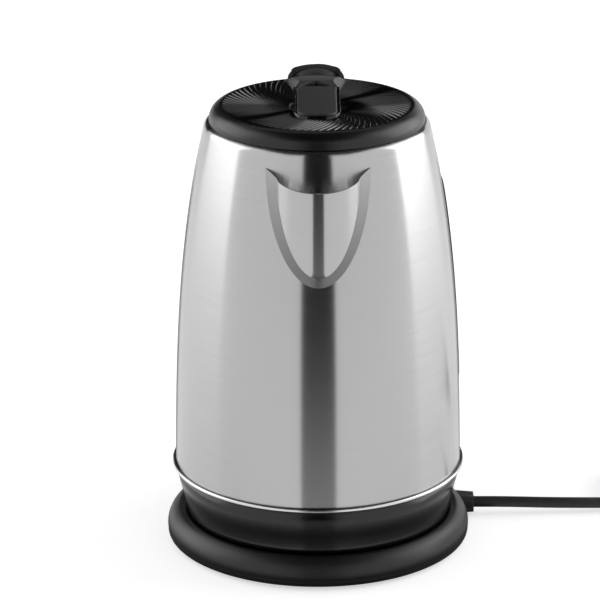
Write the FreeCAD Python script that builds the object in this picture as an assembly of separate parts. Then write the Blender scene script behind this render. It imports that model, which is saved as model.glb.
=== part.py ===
import FreeCAD
import Part
import math
import os

# Cordless steel kettle on a round power base, in millimetres.
# Origin: on the kettle's axis, on the table. +Z up, spout towards -Y, handle towards +Y, lead towards +X.

V = FreeCAD.Vector
os.makedirs("parts", exist_ok=True)

# General clearances
PLAY = 0.3              # between pieces that move past each other
SNUG = 0.1              # between pieces that are assembled and stay put
PIN_PLAY = 0.05         # radial, pin in its running bore
SCREW_R = 1.5
SCREW_HEAD_R = 3.0
SCREW_HEAD_T = 1.6
SCREW_FIT = 0.05

# Power base
BASE_R = 80.0
BASE_WIDE_Z = 5.0
BASE_EDGE_IN = 1.6
BASE_EDGE_Z = 1.6
CREST_IN = 6.0
CREST_Z = 16.5
DISH_IN = 6.5
DISH_DROP = 5.5
BASE_WALL = 2.4
PLATE_T = 2.0
FOOT_RING_R = 64.0
FOOT_RING_W = 6.0
FOOT_PROUD = 1.4
FOOT_SEAT = 1.0
BASE_SCREW_PCD_R = 50.0
BASE_BOSS_R = 4.0

# Plug-in contact hub on the power base
HUB_R = 16.8
HUB_H = 12.0
HUB_FLANGE_R = 24.0
HUB_FLANGE_T = 2.0
HUB_ROUND = 2.0
PIN_BORE_R = 3.2
PIN_BORE_DEPTH = 10.5
SLOT_IN_R = 7.2
SLOT_OUT_R = 10.4
SLOT_DEPTH = 9.0
CLIP_T = 0.4
CLIP_H = 6.0
SHUTTER_T = 1.4

# Steel body
LEDGE_Z = 44.0
BODY_R = 75.45
BODY_TOP_R = 57.9
BODY_TOP_Z = 229.8
BODY_LOW_SLOPE = -0.013
BODY_TOP_SLOPE = -0.237
STEEL_T = 0.7
SHOULDER_H = 3.3
RIM_R = 55.8
RIM_W = 0.9
HEM_H = 3.3

# Black jug base with its bright trim ring
LEDGE_W = 1.75
LIP_T = 0.6
RING_H = 3.3
RING_T = 1.9
RING_TAPER = 1.1
SKIRT_STEP = 0.5
SKIRT_TAPER = 0.275
SKIRT_ROUND_H = 8.8
SKIRT_UNDER = 6.0
SKIRT_WALL = 2.6
SEAT_GAP = 0.2

# Heater and thermostat
FLOOR_RISE = 6.0
FLOOR_T = 0.8
FLOOR_RIM_H = 5.2
SPREADER_R = 54.0
SPREADER_T = 3.0
ELEMENT_R = 44.0
ELEMENT_TUBE_R = 3.6
ELEMENT_POST_L = 7.9
ELEMENT_POST_IN = 4.0     # degrees in from the tube's ends
ELEMENT_SWEEP = 300.0
STUD_PCD_R = 58.0
STUD_R = 3.0
STUD_H = 9.8
BOSS_R = 5.0
CONTROL_R = 30.0
CONTROL_H = 12.0
CONTROL_LEG_PCD_R = 26.0
CONTROL_LEG_R = 3.0
CONTROL_LEG_H = 5.0
COUPLER_R = 22.0
COUPLER_BORE_GAP = 0.5
COUPLER_RISE = 2.0
HUB_HEADROOM = 1.5
CONTACT_PIN_R = 2.4
CONTACT_PIN_L = 10.0
CONTACT_RING_IN = 8.0
CONTACT_RING_OUT = 9.6
CONTACT_EMBED = 1.5
BIMETAL_R = 7.0
BIMETAL_T = 0.5
BIMETAL_OFF = 11.0

# Pressed spout and its strainer
SPOUT_HALF_W = 26.4
SPOUT_H = 58.8
SPOUT_CORNER_DROP = 9.7
SPOUT_REACH = 18.0
SPOUT_LIP_DROP = 5.6
SPOUT_T = 0.8
SPOUT_DIP = 1.06
SPOUT_LEVELS = (-0.10, 0.0, 0.16, 0.34, 0.52, 0.70, 0.86, 0.97, 1.04)     # of its height, downwards
STRAINER_MARGIN = 6.0
STRAINER_T = 0.8
STRAINER_HOLE_R = 1.6
STRAINER_PITCH = 5.2

# Water gauge
GAUGE_AZIMUTH = 100.0
GAUGE_LOW_Z = 83.0
GAUGE_HIGH_Z = 195.5
GAUGE_HALF_W = 4.0
GAUGE_FRAME_W = 2.4
GAUGE_PROUD = 0.9

# Lid
LID_GAP = 0.3
LID_DISC_R = 49.9
LID_RISE = 7.7
LID_DISH = 1.5
LID_WALL = 2.2
RIB_COUNT = 78
RIB_H = 0.45
RIB_W = 0.9
RIB_IN_R = 17.0
RIB_SWEEP = 42.0
SPINE_HALF_W = 12.5
SPINE_FRONT = 28.0
SPINE_FRONT_H = 1.9
SPINE_BACK_H = 4.7
WELL_FRONT = 25.6
WELL_BACK = 10.0
BUTTON_HALF_W = 10.5
BUTTON_GAP = 0.4
BUTTON_TRAVEL = 2.5
BUTTON_T = 3.0
BUTTON_ROUND = 0.9
BUTTON_LIP = 0.8
SADDLE_Y = 22.0
SADDLE_ANGLE = 50.0
SADDLE_SAG = 1.2
SCOOP_LEN = 10.0
SCOOP_DEPTH = 5.0
LINER_R = 50.0
LINER_DEPTH = 10.6
LINER_T = 1.5
LINER_FLANGE_R = 52.3
SEAL_H = 2.4
SEAL_GAP = 0.7
NECK_DEPTH = 15.0
LID_SCREW_R = 36.0
LID_BOSS_R = 3.2
LID_SCREW_L = 10.0
LATCH_HALF_W = 6.0
LATCH_T = 2.4
LATCH_BITE = 1.2
CAM_HALF_W = 3.5
CAM_T = 4.0
CAM_FRONT = 14.8
CAM_TAIL = 3.5
GUIDE_W = 2.0
BUTTON_FLANGE = 1.5
BUTTON_FLANGE_T = 1.5
BUTTON_SPRING_Y = 4.0
SPRING_R = 3.0
SPRING_WIRE_R = 0.4
SPRING_TURNS = 5

# Lid hinge in the top of the handle
HINGE_BACK = 10.0
HINGE_RISE = 1.2
BARREL_R = 7.4
BARREL_END_R = 3.2
BARREL_HALF_L = 12.0
EAR_R = 9.5
HINGE_PIN_R = 1.5
HINGE_GAP = 0.4
HOOD_ANGLE = 30.0
COIL_POCKET_HALF_L = 5.0
COIL_POCKET_R = 4.0
HINGE_SPRING_R = 3.2
HINGE_SPRING_WIRE_R = 0.5
HINGE_SPRING_TURNS = 5

# Handle
HANDLE_W = 30.0
HANDLE_EDGE_R = 7.0
HANDLE_REACH = 52.5
HANDLE_LEAN = 7.5
GRIP_T = 22.0
HANDLE_ROOT_Y = 50.0
HANDLE_FALL = 23.9
ROOT_H = 46.0
HANDLE_TOP_H = 15.1
FOOT_LOW_Z = 30.0
FOOT_HIGH_Z = 72.0
FOOT_IN = 6.0
FOOT_RISE = 6.0
GRIP_TOP_BEND = 33.0
GRIP_LOW_BEND = 25.5
GAP_TOP_BEND = 15.0
GAP_LOW_BEND = 13.5
STEAM_Z = 212.0
STEAM_R = 4.5
HANDLE_SCREW_X = 9.0
HANDLE_SCREW_LOW_Z = 36.5
HANDLE_SCREW_HIGH_Z = 220.0
HANDLE_SCREW_L = 10.0
COVER_T = 4.0
COVER_HALF_W = 9.5
COVER_LOW_Z = 98.0
COVER_HIGH_Z = 186.0

# Switch lever under the foot of the handle
LEVER_PIVOT_IN = 13.0
LEVER_Z = 27.0
LEVER_T = 4.0
LEVER_HALF_W = 6.0
LEVER_ARM = 30.0
LEVER_OUT = 34.0
PADDLE_HALF_W = 11.0
LEVER_PIN_R = 1.5
LEVER_SWING = 9.0

# Supply lead, laid to the right and put away in a tied coil
CORD_D = 6.0
GLAND_Y = 24.0
GLAND_Z = 6.5
GLAND_W = 13.0
GLAND_H = 10.8
GLAND_IN = 8.0
GLAND_OUT = 8.0
GLAND_TAPER = 0.82
CORD_POINTS = [(17.0, 0.2, 6.3), (40.0, 0.9, 5.3), (63.0, 1.7, 4.7), (86.0, 2.1, 4.5)]
COIL_X = 196.0
COIL_MID_R = 30.0
COIL_TURNS = 3.25
COIL_STEP = 6.6
COIL_LIFT = 1.6
TIE_ANGLE = -60.0
TIE_W = 8.0
TIE_T = 1.0
PLUG_R = 18.7
PLUG_H = 23.0
PLUG_SLEEVE_L = 24.0
PLUG_SLEEVE_R = 6.0
PLUG_PIN_R = 2.4
PLUG_PIN_L = 19.0
PLUG_PIN_GAP = 19.0
WIRE_R = 1.1
EARTH_W = 7.0
EARTH_H = 5.0
EARTH_T = 1.0
EARTH_BORE_R = 2.5
EARTH_BORE_DEPTH = 14.0


def rz(p):
    return V(p[0], 0, p[1])


def yz(p):
    return V(0, p[0], p[1])


def xy(p):
    return V(p[0], p[1], 0)


def outline(steps, plane):
    """Closed wire: each step is an end point, or a pair (point on the arc, end point)."""
    start = plane(steps[0])
    here = start
    edges = []
    for step in steps[1:]:
        if isinstance(step[0], tuple):
            end = plane(step[1])
            edges.append(Part.Arc(here, plane(step[0]), end).toShape())
        else:
            end = plane(step)
            edges.append(Part.LineSegment(here, end).toShape())
        here = end
    if (here - start).Length > 1e-6:
        edges.append(Part.LineSegment(here, start).toShape())
    return Part.Wire(edges)


def rounded(points, radii, plane):
    """Closed wire through corner points, each corner turned by its own radius."""
    count = len(points)
    steps = []
    for i, corner in enumerate(points):
        c = plane(corner)
        u = (plane(points[i - 1]) - c).normalize()
        w = (plane(points[(i + 1) % count]) - c).normalize()
        if radii[i] <= 0:
            steps.append((c, None, c))
            continue
        half = u.getAngle(w) / 2
        b = (u + w).normalize()
        centre = c + b * (radii[i] / math.sin(half))
        reach = radii[i] / math.tan(half)
        steps.append((c + u * reach, centre - b * radii[i], c + w * reach))
    edges = []
    for i, (first, middle, last) in enumerate(steps):
        if middle is not None:
            edges.append(Part.Arc(first, middle, last).toShape())
        after = steps[(i + 1) % count][0]
        if (after - last).Length > 1e-6:
            edges.append(Part.LineSegment(last, after).toShape())
    return Part.Wire(edges)


def turned(wire):
    return Part.Face(wire).revolve(V(0, 0, 0), V(0, 0, 1), 360)


def prism(wire, way):
    return Part.Face(wire).extrude(way)


def box(x0, x1, y0, y1, z0, z1):
    return Part.makeBox(x1 - x0, y1 - y0, z1 - z0, V(x0, y0, z0))


def disc(r, z0, z1, x=0.0, y=0.0):
    return Part.makeCylinder(r, z1 - z0, V(x, y, z0))


def tube(r_in, r_out, z0, z1, x=0.0, y=0.0):
    return disc(r_out, z0, z1, x, y).cut(disc(r_in, z0, z1, x, y))


def rod(r, start, way):
    return Part.makeCylinder(r, way.Length, start, way)


def across(r, half, y, z):
    """A round bar along X, centred on the kettle's middle plane."""
    return rod(r, V(-half, y, z), V(2 * half, 0, 0))


def around(radius, count, first=0.0):
    """Places evenly spaced on a circle."""
    turn = 2 * math.pi / count
    start = math.radians(first)
    return [(radius * math.cos(start + i * turn), radius * math.sin(start + i * turn)) for i in range(count)]


def joined(shapes):
    whole = shapes[0].fuse(shapes[1:])
    return whole.removeSplitter()


def screw(x, y, z_head, length):
    """Pan head below z_head with its shank running up from it."""
    head = disc(SCREW_HEAD_R, z_head - SCREW_HEAD_T, z_head, x, y)
    shank = disc(SCREW_R, z_head, z_head + length, x, y)
    return joined([head, shank])


def save(name, shapes):
    shapes = shapes if isinstance(shapes, list) else [shapes]
    solids = [s for shape in shapes for s in shape.Solids]
    shape = solids[0] if len(solids) == 1 else Part.makeCompound(solids)
    sound = all(s.isValid() and s.Volume > 0 for s in solids)
    print(f"{name:20s} solids {len(solids):3d} volume {shape.Volume:10.1f} sound {sound}")
    shape.exportStep(os.path.join("parts", name + ".step"))


# Levels worked out from the driving dimensions
CREST_R = BASE_R - CREST_IN
DISH_R = CREST_R - DISH_IN
DISH_Z = CREST_Z - DISH_DROP
BASE_EDGE_R = BASE_R - BASE_EDGE_IN
PLATE_TOP = FOOT_PROUD + PLATE_T
DISH_UNDER = DISH_Z - BASE_WALL
HUB_TOP = DISH_Z + HUB_H
JUG_FOOT_Z = DISH_Z + SEAT_GAP
LEDGE_R = BODY_R + LEDGE_W
RING_LOW = LEDGE_Z - LIP_T - RING_H
RING_LOW_R = LEDGE_R - RING_TAPER
SKIRT_TOP_R = RING_LOW_R - SKIRT_STEP
SKIRT_ROUND_Z = JUG_FOOT_Z + SKIRT_ROUND_H
SKIRT_LOW_R = SKIRT_TOP_R - SKIRT_TAPER * (RING_LOW - SKIRT_ROUND_Z)
SKIRT_FOOT_R = SKIRT_LOW_R - SKIRT_UNDER
FLOOR_Z = LEDGE_Z + FLOOR_RISE
SPREADER_LOW = FLOOR_Z - SPREADER_T
CONTROL_TOP = SPREADER_LOW - CONTROL_LEG_H
CONTROL_LOW = CONTROL_TOP - CONTROL_H
COUPLER_LOW = JUG_FOOT_Z + COUPLER_RISE
COUPLER_BORE_R = HUB_R + COUPLER_BORE_GAP
COUPLER_ROOF = HUB_TOP + HUB_HEADROOM
SHOULDER_Z = BODY_TOP_Z - SHOULDER_H
HEM_R = RIM_R - RIM_W
SPOUT_TOP_Z = BODY_TOP_Z - SPOUT_CORNER_DROP
LID_EDGE_Z = BODY_TOP_Z + LID_GAP
DISC_Z = LID_EDGE_Z + LID_RISE
LINER_LOW = LID_EDGE_Z - LINER_DEPTH
LINER_FLOOR = LINER_LOW + LINER_T
SEAL_R = LINER_FLANGE_R
NECK_IN_R = SEAL_R + SEAL_GAP
HINGE_Y = RIM_R + HINGE_BACK
HINGE_Z = BODY_TOP_Z + HINGE_RISE
LID_SCREWS = around(LID_SCREW_R, 3, 90.0)


def body_r(z):
    """Outer radius of the steel: one cubic from the ledge to the rim."""
    span = BODY_TOP_Z - LEDGE_Z
    t = (z - LEDGE_Z) / span
    low = (2 * t**3 - 3 * t**2 + 1) * BODY_R + (t**3 - 2 * t**2 + t) * span * BODY_LOW_SLOPE
    return low + (3 * t**2 - 2 * t**3) * BODY_TOP_R + (t**3 - t**2) * span * BODY_TOP_SLOPE


def body_slope(z):
    step = 0.01
    return (body_r(z + step) - body_r(z - step)) / (2 * step)


def body_edge(z0, z1, inset):
    """The steel's flank from z0 to z1, moved in by inset, as one curve."""
    third = (z1 - z0) / 3
    r0 = body_r(z0) - inset
    r1 = body_r(z1) - inset
    curve = Part.BezierCurve()
    curve.setPoles([rz((r0, z0)), rz((r0 + third * body_slope(z0), z0 + third)),
                    rz((r1 - third * body_slope(z1), z1 - third)), rz((r1, z1))])
    return curve.toShape()


def body_solid(inset, z0, z1):
    """Everything inside the steel's flank moved in by inset."""
    r0 = body_r(z0) - inset
    r1 = body_r(z1) - inset
    edges = [Part.LineSegment(rz((0, z0)), rz((r0, z0))).toShape(), body_edge(z0, z1, inset),
             Part.LineSegment(rz((r1, z1)), rz((0, z1))).toShape(),
             Part.LineSegment(rz((0, z1)), rz((0, z0))).toShape()]
    return turned(Part.Wire(edges))


# Round shoulder of the steel between the flank and the flat rim
SHOULDER_R = body_r(SHOULDER_Z)
SHOULDER_MID = (RIM_R + (SHOULDER_R - RIM_R) * 0.70, SHOULDER_Z + SHOULDER_H * 0.72)


def jug_outside():
    """The closed outer form of steel and rim, used to seat what is fixed on it."""
    edges = [Part.LineSegment(rz((0, LEDGE_Z)), rz((BODY_R, LEDGE_Z))).toShape(),
             body_edge(LEDGE_Z, SHOULDER_Z, 0.0),
             Part.Arc(rz((SHOULDER_R, SHOULDER_Z)), rz(SHOULDER_MID), rz((RIM_R, BODY_TOP_Z))).toShape(),
             Part.LineSegment(rz((RIM_R, BODY_TOP_Z)), rz((0, BODY_TOP_Z))).toShape(),
             Part.LineSegment(rz((0, BODY_TOP_Z)), rz((0, LEDGE_Z))).toShape()]
    return turned(Part.Wire(edges))


# Power base: domed cover, screwed bottom plate, foot ring and the contact hub
GLAND_FACE_X = math.sqrt(BASE_R**2 - GLAND_Y**2) + GLAND_OUT
GLAND_BACK_X = GLAND_FACE_X - GLAND_OUT - GLAND_IN
BASE_SCREW_Z = FOOT_PROUD + PLATE_T / 2
BASE_SCREWS = around(BASE_SCREW_PCD_R, 3, 90.0)


def gland_block(grow):
    """Tapered strain relief block, square to the lead."""
    ends = []
    for x, size in ((GLAND_BACK_X, 1.0), (GLAND_FACE_X, GLAND_TAPER)):
        half_w = GLAND_W / 2 * size + grow
        half_h = GLAND_H / 2 * size + grow
        corners = [(GLAND_Y + sy * half_w, GLAND_Z + sz * half_h)
                   for sy, sz in ((-1, -1), (1, -1), (1, 1), (-1, 1))]
        wire = rounded(corners, [half_h * 0.45] * 4, yz)
        wire.translate(V(x, 0, 0))
        ends.append(wire)
    return Part.makeLoft(ends, True, True)


def base_cover():
    bow = math.sqrt(0.5)
    crest = (CREST_R, CREST_Z)
    dish_mid = (DISH_R + DISH_IN * (1 - bow), DISH_Z + DISH_DROP * bow)
    rim_mid = (CREST_R + CREST_IN * bow, BASE_WIDE_Z + (CREST_Z - BASE_WIDE_Z) * bow)
    edge_mid = (BASE_R - BASE_EDGE_IN * (1 - bow), BASE_WIDE_Z - (BASE_WIDE_Z - BASE_EDGE_Z) * bow)
    inner_mid = (rim_mid[0] - BASE_WALL * bow, rim_mid[1] - BASE_WALL * bow)
    hole_r = HUB_R + SNUG
    shell = turned(outline([
        (hole_r, DISH_Z), (DISH_R, DISH_Z), (dish_mid, crest), (rim_mid, (BASE_R, BASE_WIDE_Z)),
        (edge_mid, (BASE_EDGE_R, BASE_EDGE_Z)), (BASE_EDGE_R - BASE_WALL, BASE_EDGE_Z),
        (BASE_R - BASE_WALL, BASE_WIDE_Z), (inner_mid, (CREST_R, CREST_Z - BASE_WALL)),
        (DISH_R + BASE_WALL / 2, DISH_UNDER), (hole_r, DISH_UNDER)], rz))
    bosses = [disc(BASE_BOSS_R, PLATE_TOP, DISH_UNDER + BASE_WALL / 2, x, y) for x, y in BASE_SCREWS]
    holes = [disc(SCREW_R + SCREW_FIT, PLATE_TOP, DISH_UNDER, x, y) for x, y in BASE_SCREWS]
    return joined([shell] + bosses).cut(holes + [gland_block(SNUG)])


def base_plate():
    plate = disc(BASE_EDGE_R - BASE_WALL - SNUG, FOOT_PROUD, PLATE_TOP)
    groove = tube(FOOT_RING_R - FOOT_RING_W - SNUG, FOOT_RING_R + SNUG, FOOT_PROUD, FOOT_PROUD + FOOT_SEAT)
    holes = []
    for x, y in BASE_SCREWS:
        holes.append(disc(SCREW_R + PLAY, FOOT_PROUD, PLATE_TOP, x, y))
        holes.append(disc(SCREW_HEAD_R + PLAY, FOOT_PROUD, BASE_SCREW_Z, x, y))
    return plate.cut([groove, gland_block(SNUG)] + holes)


def base_socket():
    hub = turned(outline([
        (0, DISH_UNDER - HUB_FLANGE_T), (HUB_FLANGE_R, DISH_UNDER - HUB_FLANGE_T),
        (HUB_FLANGE_R, DISH_UNDER), (HUB_R, DISH_UNDER), (HUB_R, HUB_TOP - HUB_ROUND),
        ((HUB_R - HUB_ROUND * 0.29, HUB_TOP - HUB_ROUND * 0.29), (HUB_R - HUB_ROUND, HUB_TOP)),
        (0, HUB_TOP)], rz))
    bore = disc(PIN_BORE_R, HUB_TOP - PIN_BORE_DEPTH, HUB_TOP)
    slot = tube(SLOT_IN_R, SLOT_OUT_R, HUB_TOP - SLOT_DEPTH, HUB_TOP)
    return hub.cut([bore, slot])


def base_contacts():
    high = HUB_TOP - (SLOT_DEPTH - CLIP_H - SHUTTER_T) / 2
    low = high - CLIP_H
    walls = ((PIN_BORE_R - SCREW_FIT - CLIP_T, PIN_BORE_R - SCREW_FIT),
             (SLOT_IN_R + SCREW_FIT, SLOT_IN_R + SCREW_FIT + CLIP_T),
             (SLOT_OUT_R - SCREW_FIT - CLIP_T, SLOT_OUT_R - SCREW_FIT))
    return [tube(r_in, r_out, low, high) for r_in, r_out in walls]


SHUTTER_LOW = HUB_TOP - SLOT_DEPTH + SEAT_GAP


def base_wiring():
    """Three insulated cores from the strain relief to the underside of the hub."""
    z = PLATE_TOP + WIRE_R + PLAY
    wires = []
    for lane in (-1, 0, 1):
        y_hub = lane * WIRE_R * 4
        y_lead = GLAND_Y + lane * WIRE_R * 2.6
        hub_end = V(SLOT_OUT_R, y_hub, z)
        lead_end = V(GLAND_BACK_X, y_lead, z)
        run = rod(WIRE_R, hub_end, lead_end - hub_end)
        knee = Part.makeSphere(WIRE_R, hub_end)
        rise = rod(WIRE_R, hub_end, V(0, 0, DISH_UNDER - HUB_FLANGE_T - z))
        wire = joined([run, knee, rise])
        wires.append(wire.common(box(0, GLAND_BACK_X, -BASE_R, BASE_R, 0, DISH_Z)))
    return wires


save("base_cover", base_cover())
save("base_plate", base_plate())
save("base_foot_ring", tube(FOOT_RING_R - FOOT_RING_W, FOOT_RING_R, 0, FOOT_PROUD + FOOT_SEAT))
save("base_screws", [screw(x, y, BASE_SCREW_Z, DISH_UNDER - BASE_SCREW_Z - SNUG) for x, y in BASE_SCREWS])
save("base_socket", base_socket())
save("base_contacts", base_contacts())
save("base_wiring", base_wiring())
save("socket_shutter", tube(CONTACT_RING_IN, CONTACT_RING_OUT, SHUTTER_LOW, SHUTTER_LOW + SHUTTER_T))
save("cord_gland", gland_block(0.0))


# Supply lead: straight runs and arcs to the coil, two layers of turns, tie and earthed plug
COIL_OUT_R = COIL_MID_R + COIL_TURNS * COIL_STEP / 4
COIL_LOW_Z = CORD_D / 2 + COIL_LIFT
COIL_Y = GLAND_Y + CORD_POINTS[-1][1] + COIL_OUT_R
PLUG_X = COIL_X + COIL_OUT_R
PLUG_Y = COIL_Y + CORD_D + PLUG_SLEEVE_L + PLUG_R


def bent_path(points):
    """Straight runs joined by tangent arcs, each as large as its shorter run allows."""
    here = points[0]
    edges = []
    radii = []
    for i in range(1, len(points) - 1):
        back = points[i - 1] - points[i]
        on = points[i + 1] - points[i]
        reach = 0.45 * min(back.Length, on.Length)
        u = V(back).normalize()
        w = V(on).normalize()
        half = u.getAngle(w) / 2
        radius = reach * math.tan(half)
        radii.append(radius)
        b = (u + w).normalize()
        middle = points[i] + b * (radius / math.sin(half) - radius)
        edges.append(Part.LineSegment(here, points[i] + u * reach).toShape())
        edges.append(Part.Arc(points[i] + u * reach, middle, points[i] + w * reach).toShape())
        here = points[i] + w * reach
    edges.append(Part.LineSegment(here, points[-1]).toShape())
    return Part.Wire(edges), radii


def swept(path, radius, start, way):
    ring = Part.Wire(Part.Circle(start, way, radius).toShape())
    return path.makePipeShell([ring], True, False)


def free_lead():
    start = V(GLAND_FACE_X, GLAND_Y, GLAND_Z)
    points = [start]
    points += [V(GLAND_FACE_X + dx, GLAND_Y + dy, z) for dx, dy, z in CORD_POINTS]
    points.append(V(COIL_X - CORD_D, COIL_Y - COIL_OUT_R, COIL_LOW_Z))
    path, radii = bent_path(points)
    lead = swept(path, CORD_D / 2, start, points[1] - start)
    print("lead radii", [round(r) for r in radii], "length", round(path.Length, 1),
          "volume ratio", round(lead.Volume / (math.pi * CORD_D**2 / 4 * path.Length), 4))
    return lead


def coil_point(turn):
    """Centre of the coiled lead after so many turns: spirals in, climbs a layer, spirals out."""
    half = COIL_TURNS / 2
    r = COIL_OUT_R - COIL_STEP * (half - abs(turn - half))
    climb = min(max(turn - half + 0.25, 0.0), 0.5) * 2
    z = COIL_LOW_Z + COIL_STEP * (3 * climb**2 - 2 * climb**3)
    angle = 2 * math.pi * turn - math.pi / 2
    return V(COIL_X + r * math.cos(angle), COIL_Y + r * math.sin(angle), z)


def coil_heading(turn):
    step = 0.002
    if turn < step:
        return V(1, 0, 0)
    if turn > COIL_TURNS - step:
        angle = 2 * math.pi * COIL_TURNS
        return V(math.cos(angle), math.sin(angle), 0)
    return (coil_point(turn + step) - coil_point(turn - step)).normalize()


def biarc(p0, t0, p1, t1):
    """Two tangent arcs from p0 along t0 to p1 along t1."""
    v = p1 - p0
    t = t0 + t1
    k = 2 * (1 - t0.dot(t1))
    d = (math.sqrt(v.dot(t)**2 + k * v.dot(v)) - v.dot(t)) / k
    q0 = p0 + t0 * d
    q1 = p1 - t1 * d
    joint = (q0 + q1) * 0.5
    edges = []
    for a, q, b in ((p0, q0, joint), (joint, q1, p1)):
        m = (a + b) * 0.5
        half = (q - a).getAngle(b - a)
        middle = m + (q - m) * (math.tan(half / 2) / math.tan(half))
        edges.append(Part.Arc(a, middle, b).toShape())
    return edges


def lead_coil():
    quarters = round(COIL_TURNS * 4)
    turns = [COIL_TURNS * i / quarters for i in range(quarters + 1)]
    start = coil_point(0)
    end = coil_point(COIL_TURNS)
    lead_in = start - coil_heading(0) * CORD_D
    edges = [Part.LineSegment(lead_in, start).toShape()]
    for a, b in zip(turns, turns[1:]):
        edges += biarc(coil_point(a), coil_heading(a), coil_point(b), coil_heading(b))
    edges.append(Part.LineSegment(end, end + coil_heading(COIL_TURNS) * CORD_D).toShape())
    path = Part.Wire(edges)
    coil = swept(path, CORD_D / 2, lead_in, coil_heading(0))
    marks = path.discretize(Number=int(COIL_TURNS * 48))
    apart = path.Length / len(marks)
    skip = int(4 * CORD_D / apart)
    gap = min((marks[i] - marks[j]).Length for i in range(len(marks)) for j in range(i + skip, len(marks)))
    print("coil length", round(path.Length, 1), "least gap", round(gap - CORD_D, 2),
          "volume ratio", round(coil.Volume / (math.pi * CORD_D**2 / 4 * path.Length), 4))
    return coil


def cord_tie():
    first = (TIE_ANGLE + 90.0) / 360.0 % 1.0
    turns = [first + i for i in range(int(COIL_TURNS - first) + 1)]
    centre = V(COIL_X, COIL_Y, 0)
    reach = [((coil_point(t) - centre) - V(0, 0, coil_point(t).z)).Length for t in turns]
    room = CORD_D / 2 + PLAY
    bow = TIE_W**2 / 8 / min(reach)
    z0 = COIL_LOW_Z - room
    z1 = COIL_LOW_Z + COIL_STEP + room
    inner = (min(reach) - room - bow, max(reach) + room, z0, z1)
    wires = []
    for grow in (TIE_T, 0.0):
        r0, r1, low, high = inner[0] - grow, inner[1] + grow, inner[2] - grow, inner[3] + grow
        wires.append(rounded([(r0, low), (r1, low), (r1, high), (r0, high)], [CORD_D / 2 + grow] * 4, rz))
    band = prism(wires[0], V(0, TIE_W, 0)).cut(prism(wires[1], V(0, TIE_W, 0)))
    band.translate(V(0, -TIE_W / 2, 0))
    band.rotate(V(0, 0, 0), V(0, 0, 1), TIE_ANGLE)
    band.translate(centre)
    return band


def earth_clips():
    z0 = PLUG_H - EARTH_H
    return [box(PLUG_X - EARTH_W / 2, PLUG_X + EARTH_W / 2, y - EARTH_T / 2, y + EARTH_T / 2, z0, PLUG_H)
            for y in (PLUG_Y - PLUG_R + EARTH_T, PLUG_Y + PLUG_R - EARTH_T)]


def plug_pins():
    pins = []
    for side in (-1, 1):
        x = PLUG_X + side * PLUG_PIN_GAP / 2
        pin = disc(PLUG_PIN_R, PLUG_H, PLUG_H + PLUG_PIN_L, x, PLUG_Y)
        tip = [e for e in pin.Edges if e.CenterOfMass.z > PLUG_H + PLUG_PIN_L - 0.01]
        pins.append(pin.makeFillet(PLUG_PIN_R * 0.6, tip))
    return pins


def plug_body():
    """Round moulded plug lying on its back, the lead entering through a tapered sleeve."""
    puck = disc(PLUG_R, 0, PLUG_H, PLUG_X, PLUG_Y)
    rims = [e for e in puck.Edges if isinstance(e.Curve, Part.Circle)]
    puck = puck.makeFillet(2.0, rims)
    sleeve_start = V(PLUG_X, COIL_Y + CORD_D, COIL_LOW_Z + COIL_STEP)
    sleeve = Part.makeCone(CORD_D * 0.7, PLUG_SLEEVE_R, PLUG_SLEEVE_L + PLUG_R / 2, sleeve_start, V(0, 1, 0))
    room = [disc(EARTH_BORE_R, PLUG_H - EARTH_BORE_DEPTH, PLUG_H, PLUG_X, PLUG_Y + PLUG_R / 2)]
    body = joined([puck, sleeve])
    half = EARTH_W / 2
    cheeks = [box(PLUG_X - half, PLUG_X + half, min(y, y + EARTH_T * 2), max(y, y + EARTH_T * 2),
                  PLUG_H - EARTH_H, PLUG_H)
              for y in (PLUG_Y - PLUG_R - EARTH_T / 2, PLUG_Y + PLUG_R - EARTH_T * 1.5)]
    return body.cut(room + cheeks)


save("power_cord", free_lead())
save("power_cord_coil", lead_coil())
save("cord_tie", cord_tie())
save("plug_body", plug_body())
save("plug_pins", plug_pins())
save("plug_earth_clips", earth_clips())


# Places of the four handle screws: (x, head's bearing face, z), two at the neck and two at the foot
def handle_screw_places():
    places = []
    high_r = body_r(HANDLE_SCREW_HIGH_Z + SCREW_HEAD_R) - STEEL_T - SCREW_FIT
    low_r = SKIRT_TOP_R - SKIRT_TAPER * (RING_LOW - HANDLE_SCREW_LOW_Z) - SKIRT_WALL
    for z, r in ((HANDLE_SCREW_HIGH_Z, high_r), (HANDLE_SCREW_LOW_Z, low_r)):
        y = math.sqrt(r**2 - (HANDLE_SCREW_X + SCREW_HEAD_R)**2)
        places += [(side * HANDLE_SCREW_X, y, z) for side in (-1, 1)]
    return places


def lying_screw(x, y, z, length):
    bolt = screw(0, 0, 0, length)
    bolt.rotate(V(0, 0, 0), V(1, 0, 0), -90)
    bolt.translate(V(x, y, z))
    return bolt


# Jug base: tapered skirt with a ledge for the steel, a groove for the trim ring, and screw bosses
STUDS = around(STUD_PCD_R, 3, 30.0)
STUD_LOW = FLOOR_Z - STUD_H
JUG_SCREW_Z = JUG_FOOT_Z + SKIRT_WALL + SCREW_HEAD_T
LEVER_Y = BODY_R - LEVER_PIVOT_IN
CHEEK_IN = LEVER_HALF_W + PLAY
CHEEK_T = 3.0
GROOVE_R = LEDGE_R - RING_T
INNER_TOP_R = GROOVE_R - SKIRT_WALL


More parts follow.
